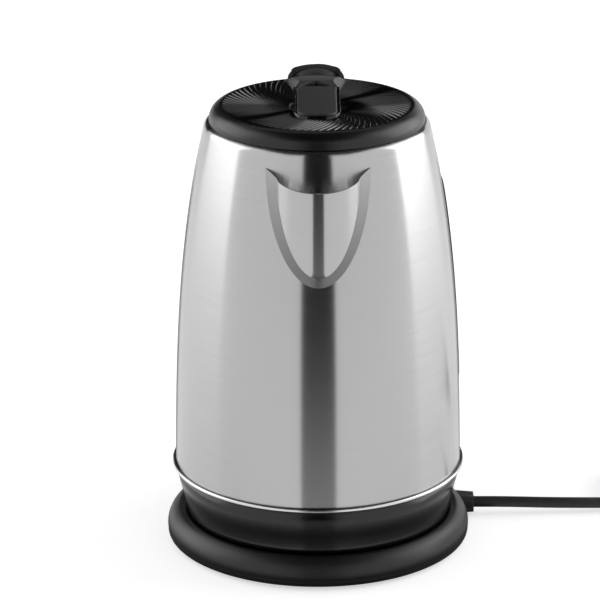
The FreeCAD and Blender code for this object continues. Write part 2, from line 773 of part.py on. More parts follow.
def skirt_steps():
    """Outer outline of the skirt from the ledge's edge down to the foot, without the ring groove."""
    bow = math.sqrt(0.5)
    round_mid = (SKIRT_FOOT_R + SKIRT_UNDER * bow, SKIRT_ROUND_Z - SKIRT_ROUND_H * bow)
    lip_mid = (LEDGE_R - LIP_T / 2 * (1 - bow), LEDGE_Z - LIP_T / 2 * (1 - bow))
    top = [(LEDGE_R - LIP_T / 2, LEDGE_Z), (lip_mid, (LEDGE_R, LEDGE_Z - LIP_T / 2)),
           (LEDGE_R, LEDGE_Z - LIP_T)]
    low = [(SKIRT_TOP_R, RING_LOW), (SKIRT_LOW_R, SKIRT_ROUND_Z), (round_mid, (SKIRT_FOOT_R, JUG_FOOT_Z))]
    return top, low


def skirt_outside():
    top, low = skirt_steps()
    return turned(outline([(0, LEDGE_Z)] + top + [(RING_LOW_R, RING_LOW)] + low + [(0, JUG_FOOT_Z)], rz))


def jug_base():
    top, low = skirt_steps()
    bow = math.sqrt(0.5)
    floor_z = JUG_FOOT_Z + SKIRT_WALL
    inner_mid = (SKIRT_FOOT_R - SKIRT_WALL * bow + SKIRT_UNDER * bow,
                 SKIRT_ROUND_Z - SKIRT_ROUND_H * bow + SKIRT_WALL * bow)
    hole_r = COUPLER_R + SNUG
    shell = turned(outline(
        [(INNER_TOP_R, LEDGE_Z)] + top + [(GROOVE_R, LEDGE_Z - LIP_T), (GROOVE_R, RING_LOW)] + low
        + [(hole_r, JUG_FOOT_Z), (hole_r, floor_z), (SKIRT_FOOT_R, floor_z),
           (inner_mid, (SKIRT_LOW_R - SKIRT_WALL, SKIRT_ROUND_Z)), (INNER_TOP_R, RING_LOW)], rz))
    bosses = [disc(BOSS_R, floor_z - SKIRT_WALL / 2, STUD_LOW - SNUG, x, y) for x, y in STUDS]
    cheeks = [box(side * CHEEK_IN if side > 0 else -CHEEK_IN - CHEEK_T,
                  CHEEK_IN + CHEEK_T if side > 0 else -CHEEK_IN,
                  LEVER_Y - LEVER_T, LEVER_Y + LEVER_T, floor_z - SKIRT_WALL / 2, LEVER_Z + LEVER_T)
              for side in (-1, 1)]
    cuts = [across(LEVER_PIN_R + SCREW_FIT, CHEEK_IN + CHEEK_T, LEVER_Y, LEVER_Z)]
    for x, y in STUDS:
        cuts.append(disc(SCREW_HEAD_R + PLAY, JUG_FOOT_Z - 1, JUG_SCREW_Z, x, y))
        cuts.append(disc(SCREW_R + PLAY, JUG_FOOT_Z, STUD_LOW, x, y))
    drop = (BODY_R + LEDGE_W - LEVER_Y) * math.tan(math.radians(LEVER_SWING))
    cuts.append(box(-CHEEK_IN, CHEEK_IN, LEVER_Y + LEVER_T * 1.2, BASE_R,
                    LEVER_Z - LEVER_T / 2 - drop - PLAY, LEVER_Z + LEVER_T / 2 + PLAY))
    cuts.append(rod(STEAM_R * 0.75, V(0, LEVER_Y, HANDLE_SCREW_LOW_Z), V(0, BASE_R, 0)))
    for x, y, z in handle_screw_places()[2:]:
        cuts.append(rod(SCREW_HEAD_R + PLAY, V(x, LEVER_Y, z), V(0, y - LEVER_Y, 0)))
        cuts.append(rod(SCREW_R + SCREW_FIT, V(x, y, z), V(0, BASE_R, 0)))
    return joined([shell] + bosses + cheeks).cut(cuts)


def trim_ring():
    high = LEDGE_Z - LIP_T
    return turned(outline([(GROOVE_R + SCREW_FIT, high), (LEDGE_R, high), (RING_LOW_R, RING_LOW),
                           (GROOVE_R + SCREW_FIT, RING_LOW)], rz))


save("jug_base", jug_base())
save("trim_ring", trim_ring())
save("jug_base_screws", [screw(x, y, JUG_SCREW_Z, STUD_LOW + STUD_H / 2 - JUG_SCREW_Z) for x, y in STUDS])


# Heater: steel floor with studs, aluminium spreader, tubular element
FLOOR_RIM_R = body_r(FLOOR_Z) - STEEL_T - SCREW_FIT
CONTROL_LEGS = around(CONTROL_LEG_PCD_R, 3, 90.0)
CONTROL_SCREW_Z = CONTROL_TOP - CONTROL_H / 3
ELEMENT_Z = SPREADER_LOW - ELEMENT_TUBE_R


def heating_plate():
    pan = turned(outline([
        (0, FLOOR_Z), (FLOOR_RIM_R - FLOOR_T, FLOOR_Z), (FLOOR_RIM_R - FLOOR_T, FLOOR_Z - FLOOR_RIM_H),
        (FLOOR_RIM_R, FLOOR_Z - FLOOR_RIM_H), (FLOOR_RIM_R, FLOOR_Z + FLOOR_T), (0, FLOOR_Z + FLOOR_T)], rz))
    studs = [disc(STUD_R, STUD_LOW, FLOOR_Z + FLOOR_T / 2, x, y) for x, y in STUDS]
    bores = [disc(SCREW_R + SCREW_FIT, STUD_LOW, STUD_LOW + STUD_H / 2 + SNUG, x, y) for x, y in STUDS]
    return joined([pan] + studs).cut(bores)


def heat_spreader():
    plate = disc(SPREADER_R, SPREADER_LOW, FLOOR_Z)
    bore_r = SCREW_R + SCREW_FIT
    return plate.cut([disc(bore_r, SPREADER_LOW, FLOOR_Z - SCREW_FIT, x, y) for x, y in CONTROL_LEGS])


def heating_element():
    """Open ring of sheathed tube brazed under the spreader, with a terminal post at each end."""
    loop = Part.makeTorus(ELEMENT_R, ELEMENT_TUBE_R, V(0, 0, ELEMENT_Z), V(0, 0, 1), 0, 360, ELEMENT_SWEEP)
    first = 90.0 + (360.0 - ELEMENT_SWEEP) / 2
    loop.rotate(V(0, 0, 0), V(0, 0, 1), first)
    posts = []
    for side in (1, -1):
        angle = math.radians(90 + side * (first - 90 + ELEMENT_POST_IN))
        x, y = ELEMENT_R * math.cos(angle), ELEMENT_R * math.sin(angle)
        posts.append(disc(ELEMENT_TUBE_R / 2, ELEMENT_Z - ELEMENT_POST_L, ELEMENT_Z, x, y))
    return joined([loop] + posts)


save("heating_plate", heating_plate())
save("heat_spreader", heat_spreader())
save("heating_element", heating_element())


# Thermostat control with the plug-in coupler below it
PIN_TIP = COUPLER_ROOF - CONTACT_PIN_L
RING_TIP = SHUTTER_LOW + SHUTTER_T + PLAY


def control_contacts():
    top = COUPLER_ROOF + CONTACT_EMBED
    pin = disc(CONTACT_PIN_R, PIN_TIP, top)
    tip = [e for e in pin.Edges if e.CenterOfMass.z < PIN_TIP + 0.01]
    return [pin.makeFillet(CONTACT_PIN_R * 0.7, tip), tube(CONTACT_RING_IN, CONTACT_RING_OUT, RING_TIP, top)]


def control_body():
    case = disc(CONTROL_R, CONTROL_LOW, CONTROL_TOP)
    coupler = disc(COUPLER_R, COUPLER_LOW, CONTROL_LOW)
    legs = [disc(CONTROL_LEG_R, CONTROL_LOW, SPREADER_LOW, x, y) for x, y in CONTROL_LEGS]
    cuts = [disc(COUPLER_BORE_R, COUPLER_LOW, COUPLER_ROOF),
            disc(CONTACT_PIN_R, COUPLER_ROOF, COUPLER_ROOF + CONTACT_EMBED),
            tube(CONTACT_RING_IN, CONTACT_RING_OUT, COUPLER_ROOF, COUPLER_ROOF + CONTACT_EMBED)]
    for x, y in CONTROL_LEGS:
        cuts.append(disc(SCREW_HEAD_R + PLAY, CONTROL_LOW, CONTROL_SCREW_Z, x, y))
        cuts.append(disc(SCREW_R + PLAY, CONTROL_LOW, SPREADER_LOW, x, y))
    return joined([case, coupler] + legs).cut(cuts)


def bimetal_discs():
    """Two snap discs, slightly domed, lying on the control."""
    discs = []
    for side in (-1, 1):
        crown = outline([(0, CONTROL_TOP + BIMETAL_T), ((BIMETAL_R / 2, CONTROL_TOP + BIMETAL_T * 0.8),
                                                         (BIMETAL_R, CONTROL_TOP + BIMETAL_T / 4)),
                         (BIMETAL_R, CONTROL_TOP), (0, CONTROL_TOP)], rz)
        cap = turned(crown)
        cap.translate(V(side * BIMETAL_OFF, 0, 0))
        discs.append(cap)
    return discs


save("control_contacts", control_contacts())
save("control_body", control_body())
save("bimetal_discs", bimetal_discs())
control_screw_l = FLOOR_Z - SNUG - CONTROL_SCREW_Z
save("control_screws", [screw(x, y, CONTROL_SCREW_Z, control_screw_l) for x, y in CONTROL_LEGS])


# Switch lever: rocks on a pin between the cheeks, its paddle under the handle's foot
def switch_lever():
    z0 = LEVER_Z - LEVER_T / 2
    z1 = LEVER_Z + LEVER_T / 2
    arm = box(-LEVER_HALF_W, LEVER_HALF_W, LEVER_Y - LEVER_ARM, LEVER_Y + LEVER_OUT / 2, z0, z1)
    boss = across(LEVER_T, LEVER_HALF_W, LEVER_Y, LEVER_Z)
    back = LEVER_Y + LEVER_OUT
    front = BODY_R + LEDGE_W
    side = rounded([(front, z0), (back, z0 + LEVER_T / 4), (back + LEVER_T / 2, z1 + LEVER_T / 2),
                    (back - LEVER_T, z1 + LEVER_T / 2), (front, z1)],
                   [0, LEVER_T / 4, LEVER_T / 6, LEVER_T / 2, 0], yz)
    paddle = prism(side, V(2 * PADDLE_HALF_W, 0, 0))
    paddle.translate(V(-PADDLE_HALF_W, 0, 0))
    plan = rounded([(-PADDLE_HALF_W, front), (PADDLE_HALF_W, front),
                    (PADDLE_HALF_W, back + LEVER_T), (-PADDLE_HALF_W, back + LEVER_T)],
                   [LEVER_T / 4, LEVER_T / 4, PADDLE_HALF_W * 0.8, PADDLE_HALF_W * 0.8], xy)
    plan.translate(V(0, 0, z0 - LEVER_T))
    paddle = paddle.common(prism(plan, V(0, 0, LEVER_T * 4)))
    return joined([arm, boss, paddle]).cut(across(LEVER_PIN_R + PIN_PLAY, LEVER_HALF_W, LEVER_Y, LEVER_Z))


save("switch_lever", switch_lever())
save("switch_pin", across(LEVER_PIN_R, CHEEK_IN + CHEEK_T, LEVER_Y, LEVER_Z))


# Pressed spout: a shield-shaped beak that swells out of the flank towards an open, sloping lip
def spout_swell(x, down, half_w, reach):
    """How far the beak stands off the flank, from its front view: a half ellipse with its foot below."""
    share = math.hypot(x / half_w, max(down, 0.0))
    return reach * (1 - share ** (2 + 2 * max(down, 0.0)))


def beak(inset):
    """The filled beak, moved in by inset: a loft through level sections that dip under the flank."""
    half_w = SPOUT_HALF_W - inset
    height = SPOUT_H - inset
    sections = []
    for down in SPOUT_LEVELS:
        z = SPOUT_TOP_Z - down * height
        half = SPOUT_DIP * half_w * math.sqrt(1 - (max(down, 0.0) / SPOUT_DIP)**2)
        front = []
        for i in range(-4, 5):
            x = half * math.sin(i * math.pi / 8)
            swell = spout_swell(x, down, half_w, SPOUT_REACH - inset)
            front.append(V(x, -math.sqrt(body_r(z)**2 - x * x) - swell, z))
        curve = Part.BSplineCurve()
        curve.interpolate(front)
        right = V(half, -BODY_TOP_R * 0.6, z)
        left = V(-half, -BODY_TOP_R * 0.6, z)
        sections.append(Part.Wire([curve.toShape(), Part.LineSegment(front[-1], right).toShape(),
                                   Part.LineSegment(right, left).toShape(),
                                   Part.LineSegment(left, front[0]).toShape()]))
    return Part.makeLoft(sections, True, False)


LIP_FRONT_Y = -(body_r(SPOUT_TOP_Z - SPOUT_LIP_DROP) + SPOUT_REACH)
LIP_CORNER_Y = -math.sqrt(body_r(SPOUT_TOP_Z)**2 - SPOUT_HALF_W**2)
LIP_SLOPE = SPOUT_LIP_DROP / (LIP_CORNER_Y - LIP_FRONT_Y)


def above_lip():
    """Everything above the sloping plane of the spout's mouth."""
    far = -2 * BASE_R
    low = SPOUT_TOP_Z + LIP_SLOPE * (far - LIP_CORNER_Y)
    high = SPOUT_TOP_Z - LIP_SLOPE * LIP_CORNER_Y
    side = outline([(far, low), (0, high), (0, BODY_TOP_Z + BASE_R), (far, BODY_TOP_Z + BASE_R)], yz)
    block = prism(side, V(2 * BASE_R, 0, 0))
    block.translate(V(-BASE_R, 0, 0))
    return block


def spout():
    shell = beak(0.0).cut(above_lip()).cut(jug_outside()).cut(beak(SPOUT_T))
    return max(shell.Solids, key=lambda s: s.Volume)


def shield(margin, y0, y1):
    """A shield-shaped prism through the wall behind the spout."""
    half = SPOUT_HALF_W - margin
    top = SPOUT_TOP_Z - margin
    low = SPOUT_TOP_Z - SPOUT_H + margin * 2
    mid = (top * 0.45 + low * 0.55)
    face = outline([(-half, top), (half, top), (half, mid), ((0, low), (-half, mid))], rz)
    face.translate(V(0, y0, 0))
    return prism(face, V(0, y1 - y0, 0))


def spout_strainer():
    """Perforated plate lying against the inside of the wall, over the pouring opening."""
    skin = body_solid(STEEL_T + SCREW_FIT, LEDGE_Z, SHOULDER_Z)
    core = body_solid(STEEL_T + SCREW_FIT + STRAINER_T, LEDGE_Z, SHOULDER_Z)
    plate = skin.cut(core).common(shield(STRAINER_MARGIN / 2, -BASE_R, -BASE_R / 3))
    holes = []
    half = SPOUT_HALF_W - STRAINER_MARGIN * 1.4
    row_h = STRAINER_PITCH * math.sqrt(0.75)
    rows = int((SPOUT_H - STRAINER_MARGIN * 4.5) / row_h)
    for row in range(rows):
        z = SPOUT_TOP_Z - STRAINER_MARGIN * 1.8 - row * row_h
        down = row / rows
        reach = half * (1.0 if down < 0.45 else 1.0 - 0.75 * (down - 0.45) / 0.55)
        count = int(reach / STRAINER_PITCH)
        shift = STRAINER_PITCH / 2 if row % 2 else 0.0
        for i in range(-count, count + 1):
            x = i * STRAINER_PITCH + shift
            if abs(x) <= reach:
                holes.append(rod(STRAINER_HOLE_R, V(x, -BASE_R, z), V(0, BASE_R * 0.6, 0)))
    return plate.cut(holes)


# Water gauge: clear strip in a slot of the wall, with a soft frame round it
def stadium(half_w, z0, z1):
    """Upright slot outline pushed through the wall at the gauge's place."""
    face = outline([(-half_w, z0), ((0, z0 - half_w), (half_w, z0)),
                    (half_w, z1), ((0, z1 + half_w), (-half_w, z1))], yz)
    bar = prism(face, V(BASE_R, 0, 0))
    bar.translate(V(BODY_TOP_R / 2, 0, 0))
    bar.rotate(V(0, 0, 0), V(0, 0, 1), GAUGE_AZIMUTH - 90.0)
    return bar


GAUGE_ENDS = (GAUGE_LOW_Z + GAUGE_HALF_W + GAUGE_FRAME_W, GAUGE_HIGH_Z - GAUGE_HALF_W - GAUGE_FRAME_W)


def between(outset, inset):
    """The layer of space from inset below the steel's outer face to outset above it."""
    return body_solid(-outset, LEDGE_Z, SHOULDER_Z).cut(body_solid(inset, LEDGE_Z, SHOULDER_Z))


def gauge_window():
    return stadium(GAUGE_HALF_W, *GAUGE_ENDS).common(between(GAUGE_PROUD / 2, STEEL_T * 2))


def gauge_frame():
    bezel = stadium(GAUGE_HALF_W + GAUGE_FRAME_W, *GAUGE_ENDS)
    ring = bezel.cut(stadium(GAUGE_HALF_W + SCREW_FIT, *GAUGE_ENDS))
    return ring.common(between(GAUGE_PROUD, 0.0))


# Steel body: deep-drawn shell with a rounded shoulder and a hemmed rim
def steel_body():
    t = STEEL_T
    shoulder_in = (SHOULDER_MID[0] - t * 0.7, SHOULDER_MID[1] - t * 0.7)
    hem_back = HEM_R + t
    edges = [body_edge(LEDGE_Z, SHOULDER_Z, 0.0),
             Part.Arc(rz((SHOULDER_R, SHOULDER_Z)), rz(SHOULDER_MID), rz((RIM_R, BODY_TOP_Z))).toShape()]
    hem_low = BODY_TOP_Z - HEM_H
    corners = [(RIM_R, BODY_TOP_Z), (HEM_R, BODY_TOP_Z), (HEM_R, hem_low), (hem_back, hem_low),
               (hem_back, BODY_TOP_Z - t), (RIM_R, BODY_TOP_Z - t)]
    edges += [Part.LineSegment(rz(a), rz(b)).toShape() for a, b in zip(corners, corners[1:])]
    edges.append(Part.Arc(rz(corners[-1]), rz(shoulder_in), rz((SHOULDER_R - t, SHOULDER_Z))).toShape())
    edges.append(body_edge(LEDGE_Z, SHOULDER_Z, t))
    edges.append(Part.LineSegment(rz((BODY_R - t, LEDGE_Z)), rz((BODY_R, LEDGE_Z))).toShape())
    shell = turned(Part.Wire(Part.__sortEdges__(edges)))
    cuts = [shield(STRAINER_MARGIN, -BASE_R, -BASE_R / 3),
            stadium(GAUGE_HALF_W + SNUG, *GAUGE_ENDS),
            rod(STEAM_R, V(0, BODY_TOP_R / 2, STEAM_Z), V(0, BASE_R, 0))]
    for x, y, z in handle_screw_places()[:2]:
        cuts.append(rod(SCREW_R + SCREW_FIT, V(x, BODY_TOP_R / 2, z), V(0, BASE_R, 0)))
    return shell.cut(cuts)


save("steel_body", steel_body())
save("spout", spout())
save("spout_strainer", spout_strainer())
save("gauge_window", gauge_window())
save("gauge_frame", gauge_frame())


# Neck ring: snaps under the hem and carries the catch for the latch
NECK_LOW = BODY_TOP_Z - NECK_DEPTH
NECK_TOP = BODY_TOP_Z - RIM_W
LATCH_LOW = LINER_LOW + (LINER_DEPTH - LATCH_T) * 0.7
LATCH_TOP = LATCH_LOW + LATCH_T
NECK_BEAD = 1.2


def neck_ring():
    out_r = HEM_R - SNUG
    under = BODY_TOP_Z - HEM_H - SNUG
    ring = turned(outline([(NECK_IN_R, NECK_LOW), (out_r, NECK_LOW), (out_r, under - NECK_BEAD * 2),
                           (out_r + NECK_BEAD, under), (out_r, under), (out_r, NECK_TOP),
                           (NECK_IN_R, NECK_TOP)], rz))
    half = LATCH_HALF_W + PLAY
    return ring.cut(box(-half, half, -BASE_R, 0, LATCH_LOW - PLAY, LATCH_TOP + PLAY))


save("neck_ring", neck_ring())


# Handle: hollow arm from the rim to the skirt, with the hood and ears of the lid hinge
HANDLE_BACK_Y = BODY_R + HANDLE_REACH
HANDLE_TOP_Z = BODY_TOP_Z + HANDLE_TOP_H
GRIP_LOW_Z = FOOT_HIGH_Z - (FOOT_HIGH_Z - FOOT_LOW_Z) / 2


def about_hinge(angle, reach):
    """Side-view point at an angle behind the vertical above the hinge pin, negative in front of it."""
    turn = math.radians(angle)
    return (HINGE_Y + reach * math.sin(turn), HINGE_Z + reach * math.cos(turn))


def slab(points, half):
    """A side-view polygon, pulled out to both sides of the middle plane."""
    block = prism(outline(points, yz), V(2 * half, 0, 0))
    block.translate(V(-half, 0, 0))
    return block


def barrel(grow):
    """Crowned hinge barrel about the pin, its ends slimmer than its middle."""
    half = BARREL_HALF_L + grow
    end_r = BARREL_END_R + grow
    wire = outline([(-half, 0), (-half, end_r), ((0, BARREL_R + grow), (half, end_r)), (half, 0)], rz)
    solid = Part.Face(wire).revolve(V(0, 0, 0), V(1, 0, 0), 360)
    solid.translate(V(0, HINGE_Y, HINGE_Z))
    return solid


def handle_form():
    back = HANDLE_BACK_Y
    low_back = back - HANDLE_LEAN
    corners = [(HANDLE_ROOT_Y, HANDLE_TOP_Z), (back, HANDLE_TOP_Z - HANDLE_FALL), (low_back, GRIP_LOW_Z),
               (2 * BODY_R - LEDGE_R - FOOT_IN, FOOT_LOW_Z), (BODY_R - FOOT_IN, FOOT_HIGH_Z),
               (low_back - GRIP_T, FOOT_HIGH_Z + FOOT_RISE), (back - GRIP_T, STEAM_Z - HANDLE_EDGE_R),
               (HANDLE_ROOT_Y, HANDLE_TOP_Z - ROOT_H)]
    side = rounded(corners, [0, GRIP_TOP_BEND, GRIP_LOW_BEND, 0, 0, GAP_LOW_BEND, GAP_TOP_BEND, 0], yz)
    arm = prism(side, V(HANDLE_W, 0, 0))
    arm.translate(V(-HANDLE_W / 2, 0, 0))
    rims = []
    for e in arm.Edges:
        ends = [v.Point.y for v in e.Vertexes]
        flat = abs(abs(e.CenterOfMass.x) - HANDLE_W / 2) < 0.01
        if flat and not max(ends) < BODY_R - FOOT_IN / 2:
            rims.append(e)
    return arm.makeFillet(HANDLE_EDGE_R, rims)


def steam_channel():
    """The passage that leads steam from the neck through the grip to the switch in the base."""
    mid_top = HANDLE_BACK_Y - GRIP_T / 2
    knees = [V(0, HANDLE_ROOT_Y, STEAM_Z), V(0, mid_top, STEAM_Z),
             V(0, mid_top - HANDLE_LEAN, GRIP_LOW_Z + GRIP_T / 2), V(0, BODY_R, HANDLE_SCREW_LOW_Z)]
    runs = [rod(STEAM_R, p, q - p) for p, q in zip(knees, knees[1:])]
    return joined(runs + [Part.makeSphere(STEAM_R, q) for q in knees[1:3]])


def cover_zone(grow):
    """The part of the handle's back that its cover takes up."""
    half = COVER_HALF_W + grow
    z0 = COVER_LOW_Z - grow
    z1 = COVER_HIGH_Z + grow
    plan = outline([(-half, z0 + half), ((0, z0), (half, z0 + half)), (half, z1 - half),
                    ((0, z1), (-half, z1 - half))], rz)
    through = prism(plan, V(0, 2 * HANDLE_BACK_Y, 0))
    rise = HANDLE_TOP_Z - HANDLE_FALL - GRIP_LOW_Z
    face = [HANDLE_BACK_Y - HANDLE_LEAN * (1 - (z - GRIP_LOW_Z) / rise) - COVER_T - grow for z in (z0, z1)]
    far = HANDLE_BACK_Y + GRIP_T
    return through.common(slab([(face[0], z0), (far, z0), (far, z1), (face[1], z1)], HANDLE_W))


HOOD_REACH = 60.0
SLOT_HALF_W = BARREL_HALF_L + HINGE_GAP


def handle_shell():
    pin = (HINGE_Y, HINGE_Z)
    slot = slab([pin] + [about_hinge(turn, HOOD_REACH) for turn in (HOOD_ANGLE, -20, -75, -130)], SLOT_HALF_W)
    brow = slab([pin] + [about_hinge(turn, HOOD_REACH) for turn in (-10, -70, -130)], HANDLE_W)
    cuts = [jug_outside(), skirt_outside(), disc(RIM_R + HINGE_GAP, BODY_TOP_Z, BODY_TOP_Z + HOOD_REACH),
            barrel(HINGE_GAP), slot, brow.cut(across(EAR_R, HANDLE_W, HINGE_Y, HINGE_Z)),
            across(HINGE_PIN_R + SCREW_FIT / 2, HANDLE_W, HINGE_Y, HINGE_Z), steam_channel(),
            cover_zone(SNUG)]
    for x, y, z in handle_screw_places():
        cuts.append(rod(SCREW_R + SCREW_FIT, V(x, y, z), V(0, HANDLE_SCREW_L + SNUG, 0)))
    shell = handle_form()
    for cut in cuts:
        shell = shell.cut(cut)
    return max(shell.Solids, key=lambda s: s.Volume)


save("handle_shell", handle_shell())
save("handle_cover", handle_form().common(cover_zone(0.0)))
save("handle_screws", [lying_screw(x, y, z, HANDLE_SCREW_L) for x, y, z in handle_screw_places()])
save("hinge_pin", across(HINGE_PIN_R, HANDLE_W / 2 - PLAY, HINGE_Y, HINGE_Z))


# Lid: dished disc with swirled ribs, raised spine with the button's well, and the hinge barrel
SPINE_LOW_Z = LID_EDGE_Z + SNUG * 2
CROWN_Z = DISC_Z - LID_DISH
LID_ROUND = (LID_DISC_R + (RIM_R - LID_DISC_R) * 0.73, DISC_Z - LID_RISE * 0.34)


def spine_top(y):
    """Height of the spine's straight top, rising from its front to the saddle."""
    rise = SPINE_BACK_H - SPINE_FRONT_H
    return DISC_Z + SPINE_FRONT_H + rise * (y + SPINE_FRONT) / (SPINE_FRONT + SADDLE_Y)


def dish_z(r):
    """Height of the dished disc at a radius."""
    return CROWN_Z + LID_DISH * (r / LID_DISC_R)**2


def lid_shell():
    half = LID_DISC_R / 2
    w = LID_WALL
    round_in = (LID_ROUND[0] - w * 0.7, LID_ROUND[1] - w * 0.7)
    return turned(outline([
        (0, CROWN_Z), ((half, dish_z(half)), (LID_DISC_R, DISC_Z)), (LID_ROUND, (RIM_R, LID_EDGE_Z)),
        (RIM_R - w, LID_EDGE_Z), (round_in, (LID_DISC_R - w / 4, DISC_Z - w)),
        ((half, dish_z(half) - w), (0, CROWN_Z - w))], rz))


def swirl_ribs():
    """Ribs that run outwards along equal spirals, each turning steadily as the radius grows."""
    out_r = LID_DISC_R - RIB_H
    mid_r = math.sqrt(RIB_IN_R * out_r)
    sweep = math.radians(RIB_SWEEP)
    half = RIB_W / 2 / out_r
    zone = turned(outline([(RIB_IN_R, dish_z(RIB_IN_R) - RIB_H), (RIB_IN_R, dish_z(RIB_IN_R) + RIB_H),
                           ((mid_r, dish_z(mid_r) + RIB_H), (out_r, dish_z(out_r) + RIB_H / 3)),
                           (out_r, dish_z(out_r) - RIB_H)], rz))

    def place(r, angle):
        turn = angle - sweep * math.log(r / RIB_IN_R)
        return (r * math.cos(turn), r * math.sin(turn))

    frame_x = SPINE_HALF_W - LID_WALL / 3
    spine_zone = box(-frame_x, frame_x, -SPINE_FRONT + LID_WALL / 3, LID_DISC_R, 0, 2 * BODY_TOP_Z)
    bars = []
    reach = (RIB_IN_R - RIB_H, mid_r, out_r + RIB_H)
    for i in range(RIB_COUNT):
        angle = 2 * math.pi * i / RIB_COUNT
        near = [place(r, angle - half) for r in reach]
        far = [place(r, angle + half) for r in reach]
        wire = outline([near[0], (near[1], near[2]), far[2], (far[1], far[0])], xy)
        wire.translate(V(0, 0, CROWN_Z - LID_WALL / 2))
        bars += prism(wire, V(0, 0, LID_RISE)).common(zone).cut(spine_zone).Solids
    return bars


def spine():
    low = DISC_Z - LID_WALL
    saddle_end = about_hinge(-SADDLE_ANGLE, BARREL_R + HINGE_GAP)
    saddle_mid = ((SADDLE_Y + saddle_end[0]) / 2, (spine_top(SADDLE_Y) + saddle_end[1]) / 2 - SADDLE_SAG)
    points = [(-SPINE_FRONT, low), (-SPINE_FRONT, spine_top(-SPINE_FRONT)), (SADDLE_Y, spine_top(SADDLE_Y)),
              (saddle_mid, saddle_end), (HINGE_Y, HINGE_Z), (HINGE_Y - BARREL_R * 0.75, SPINE_LOW_Z),
              (LID_DISC_R - LID_WALL * 2, SPINE_LOW_Z), (LID_DISC_R - LID_WALL * 3, low)]
    front = slab(points, SPINE_HALF_W).common(box(-BASE_R, BASE_R, -BASE_R, LID_DISC_R, 0, 2 * BODY_TOP_Z))
    back = slab(points, BARREL_HALF_L - HINGE_GAP)
    return [front, back]


def lid_cover():
    bosses = [disc(LID_BOSS_R, LINER_FLOOR + SNUG, CROWN_Z - LID_WALL / 2, x, y) for x, y in LID_SCREWS]
    body = joined([lid_shell()] + spine() + bosses + [barrel(0.0)])
    well_w = BUTTON_HALF_W + BUTTON_GAP
    lens = outline([(-well_w, WELL_BACK - SNUG), (well_w, WELL_BACK - SNUG),
                    ((0, WELL_BACK + SCOOP_LEN), (-well_w, WELL_BACK - SNUG))], xy)
    lens.translate(V(0, 0, spine_top(WELL_BACK) - SCOOP_DEPTH))
    cuts = [box(-well_w, well_w, -WELL_FRONT, WELL_BACK, CROWN_Z - LID_RISE, DISC_Z + LID_RISE),
            prism(lens, V(0, 0, LID_RISE * 2)),
            across(HINGE_PIN_R + PIN_PLAY, HANDLE_W, HINGE_Y, HINGE_Z),
            across(COIL_POCKET_R, COIL_POCKET_HALF_L, HINGE_Y, HINGE_Z)]
    cuts += [disc(SCREW_R + SCREW_FIT, LINER_FLOOR, CROWN_Z - LID_WALL, x, y) for x, y in LID_SCREWS]
    body = body.cut(cuts)
    return body.fuse(swirl_ribs())


def lid_liner():
    inner = LINER_R - LINER_T
    flange_low = LID_EDGE_Z - LINER_T
    cup = turned(outline([(0, LINER_LOW), (LINER_R, LINER_LOW), (LINER_R, flange_low),
                          (LINER_FLANGE_R, flange_low), (LINER_FLANGE_R, LID_EDGE_Z), (inner, LID_EDGE_Z),
                          (inner, LINER_FLOOR), (0, LINER_FLOOR)], rz))
    rail = LATCH_HALF_W + PLAY
    out = rail + GUIDE_W
    ledge_z = LATCH_LOW - PLAY
    front = -inner - LINER_T / 2
    extras = [disc(SPRING_R - SPRING_WIRE_R - PLAY, LINER_LOW + LINER_T / 2, LINER_FLOOR + SPRING_R,
                   0, BUTTON_SPRING_Y)]
    for side in (-1, 1):
        x0, x1 = sorted((side * rail, side * out))
        extras.append(box(x0, x1, front, -CAM_TAIL, LINER_LOW + LINER_T / 2, LATCH_TOP + PLAY))
        ledge0, ledge1 = sorted((side * (CAM_HALF_W + PLAY), side * out))
        extras.append(box(ledge0, ledge1, front, -CAM_FRONT - PLAY * 3, LINER_LOW + LINER_T / 2, ledge_z))
    window = box(-rail, rail, -LINER_FLANGE_R, -inner + LINER_T, ledge_z, LATCH_TOP + PLAY)
    holes = [disc(SCREW_R + PLAY, LINER_LOW, LINER_FLOOR, x, y) for x, y in LID_SCREWS]
    return joined([cup] + extras).cut([window] + holes)


# Button, latch and springs of the lid
BUTTON_FLANGE_TOP = CROWN_Z - LID_WALL - PLAY
BUTTON_LOW = BUTTON_FLANGE_TOP - BUTTON_FLANGE_T
CAM_LOW = LATCH_LOW - 1.0
CAM_HIGH = LATCH_TOP + BUTTON_TRAVEL + PLAY


def cam_outline(gap):
    """The slanted cam in side view, widened to the front and back by gap."""
    run = CAM_HIGH - CAM_LOW
    front = -CAM_FRONT - gap
    back = -CAM_FRONT + CAM_T + gap
    return [(front, CAM_LOW), (back, CAM_LOW), (back + run, CAM_HIGH), (front + run, CAM_HIGH)]


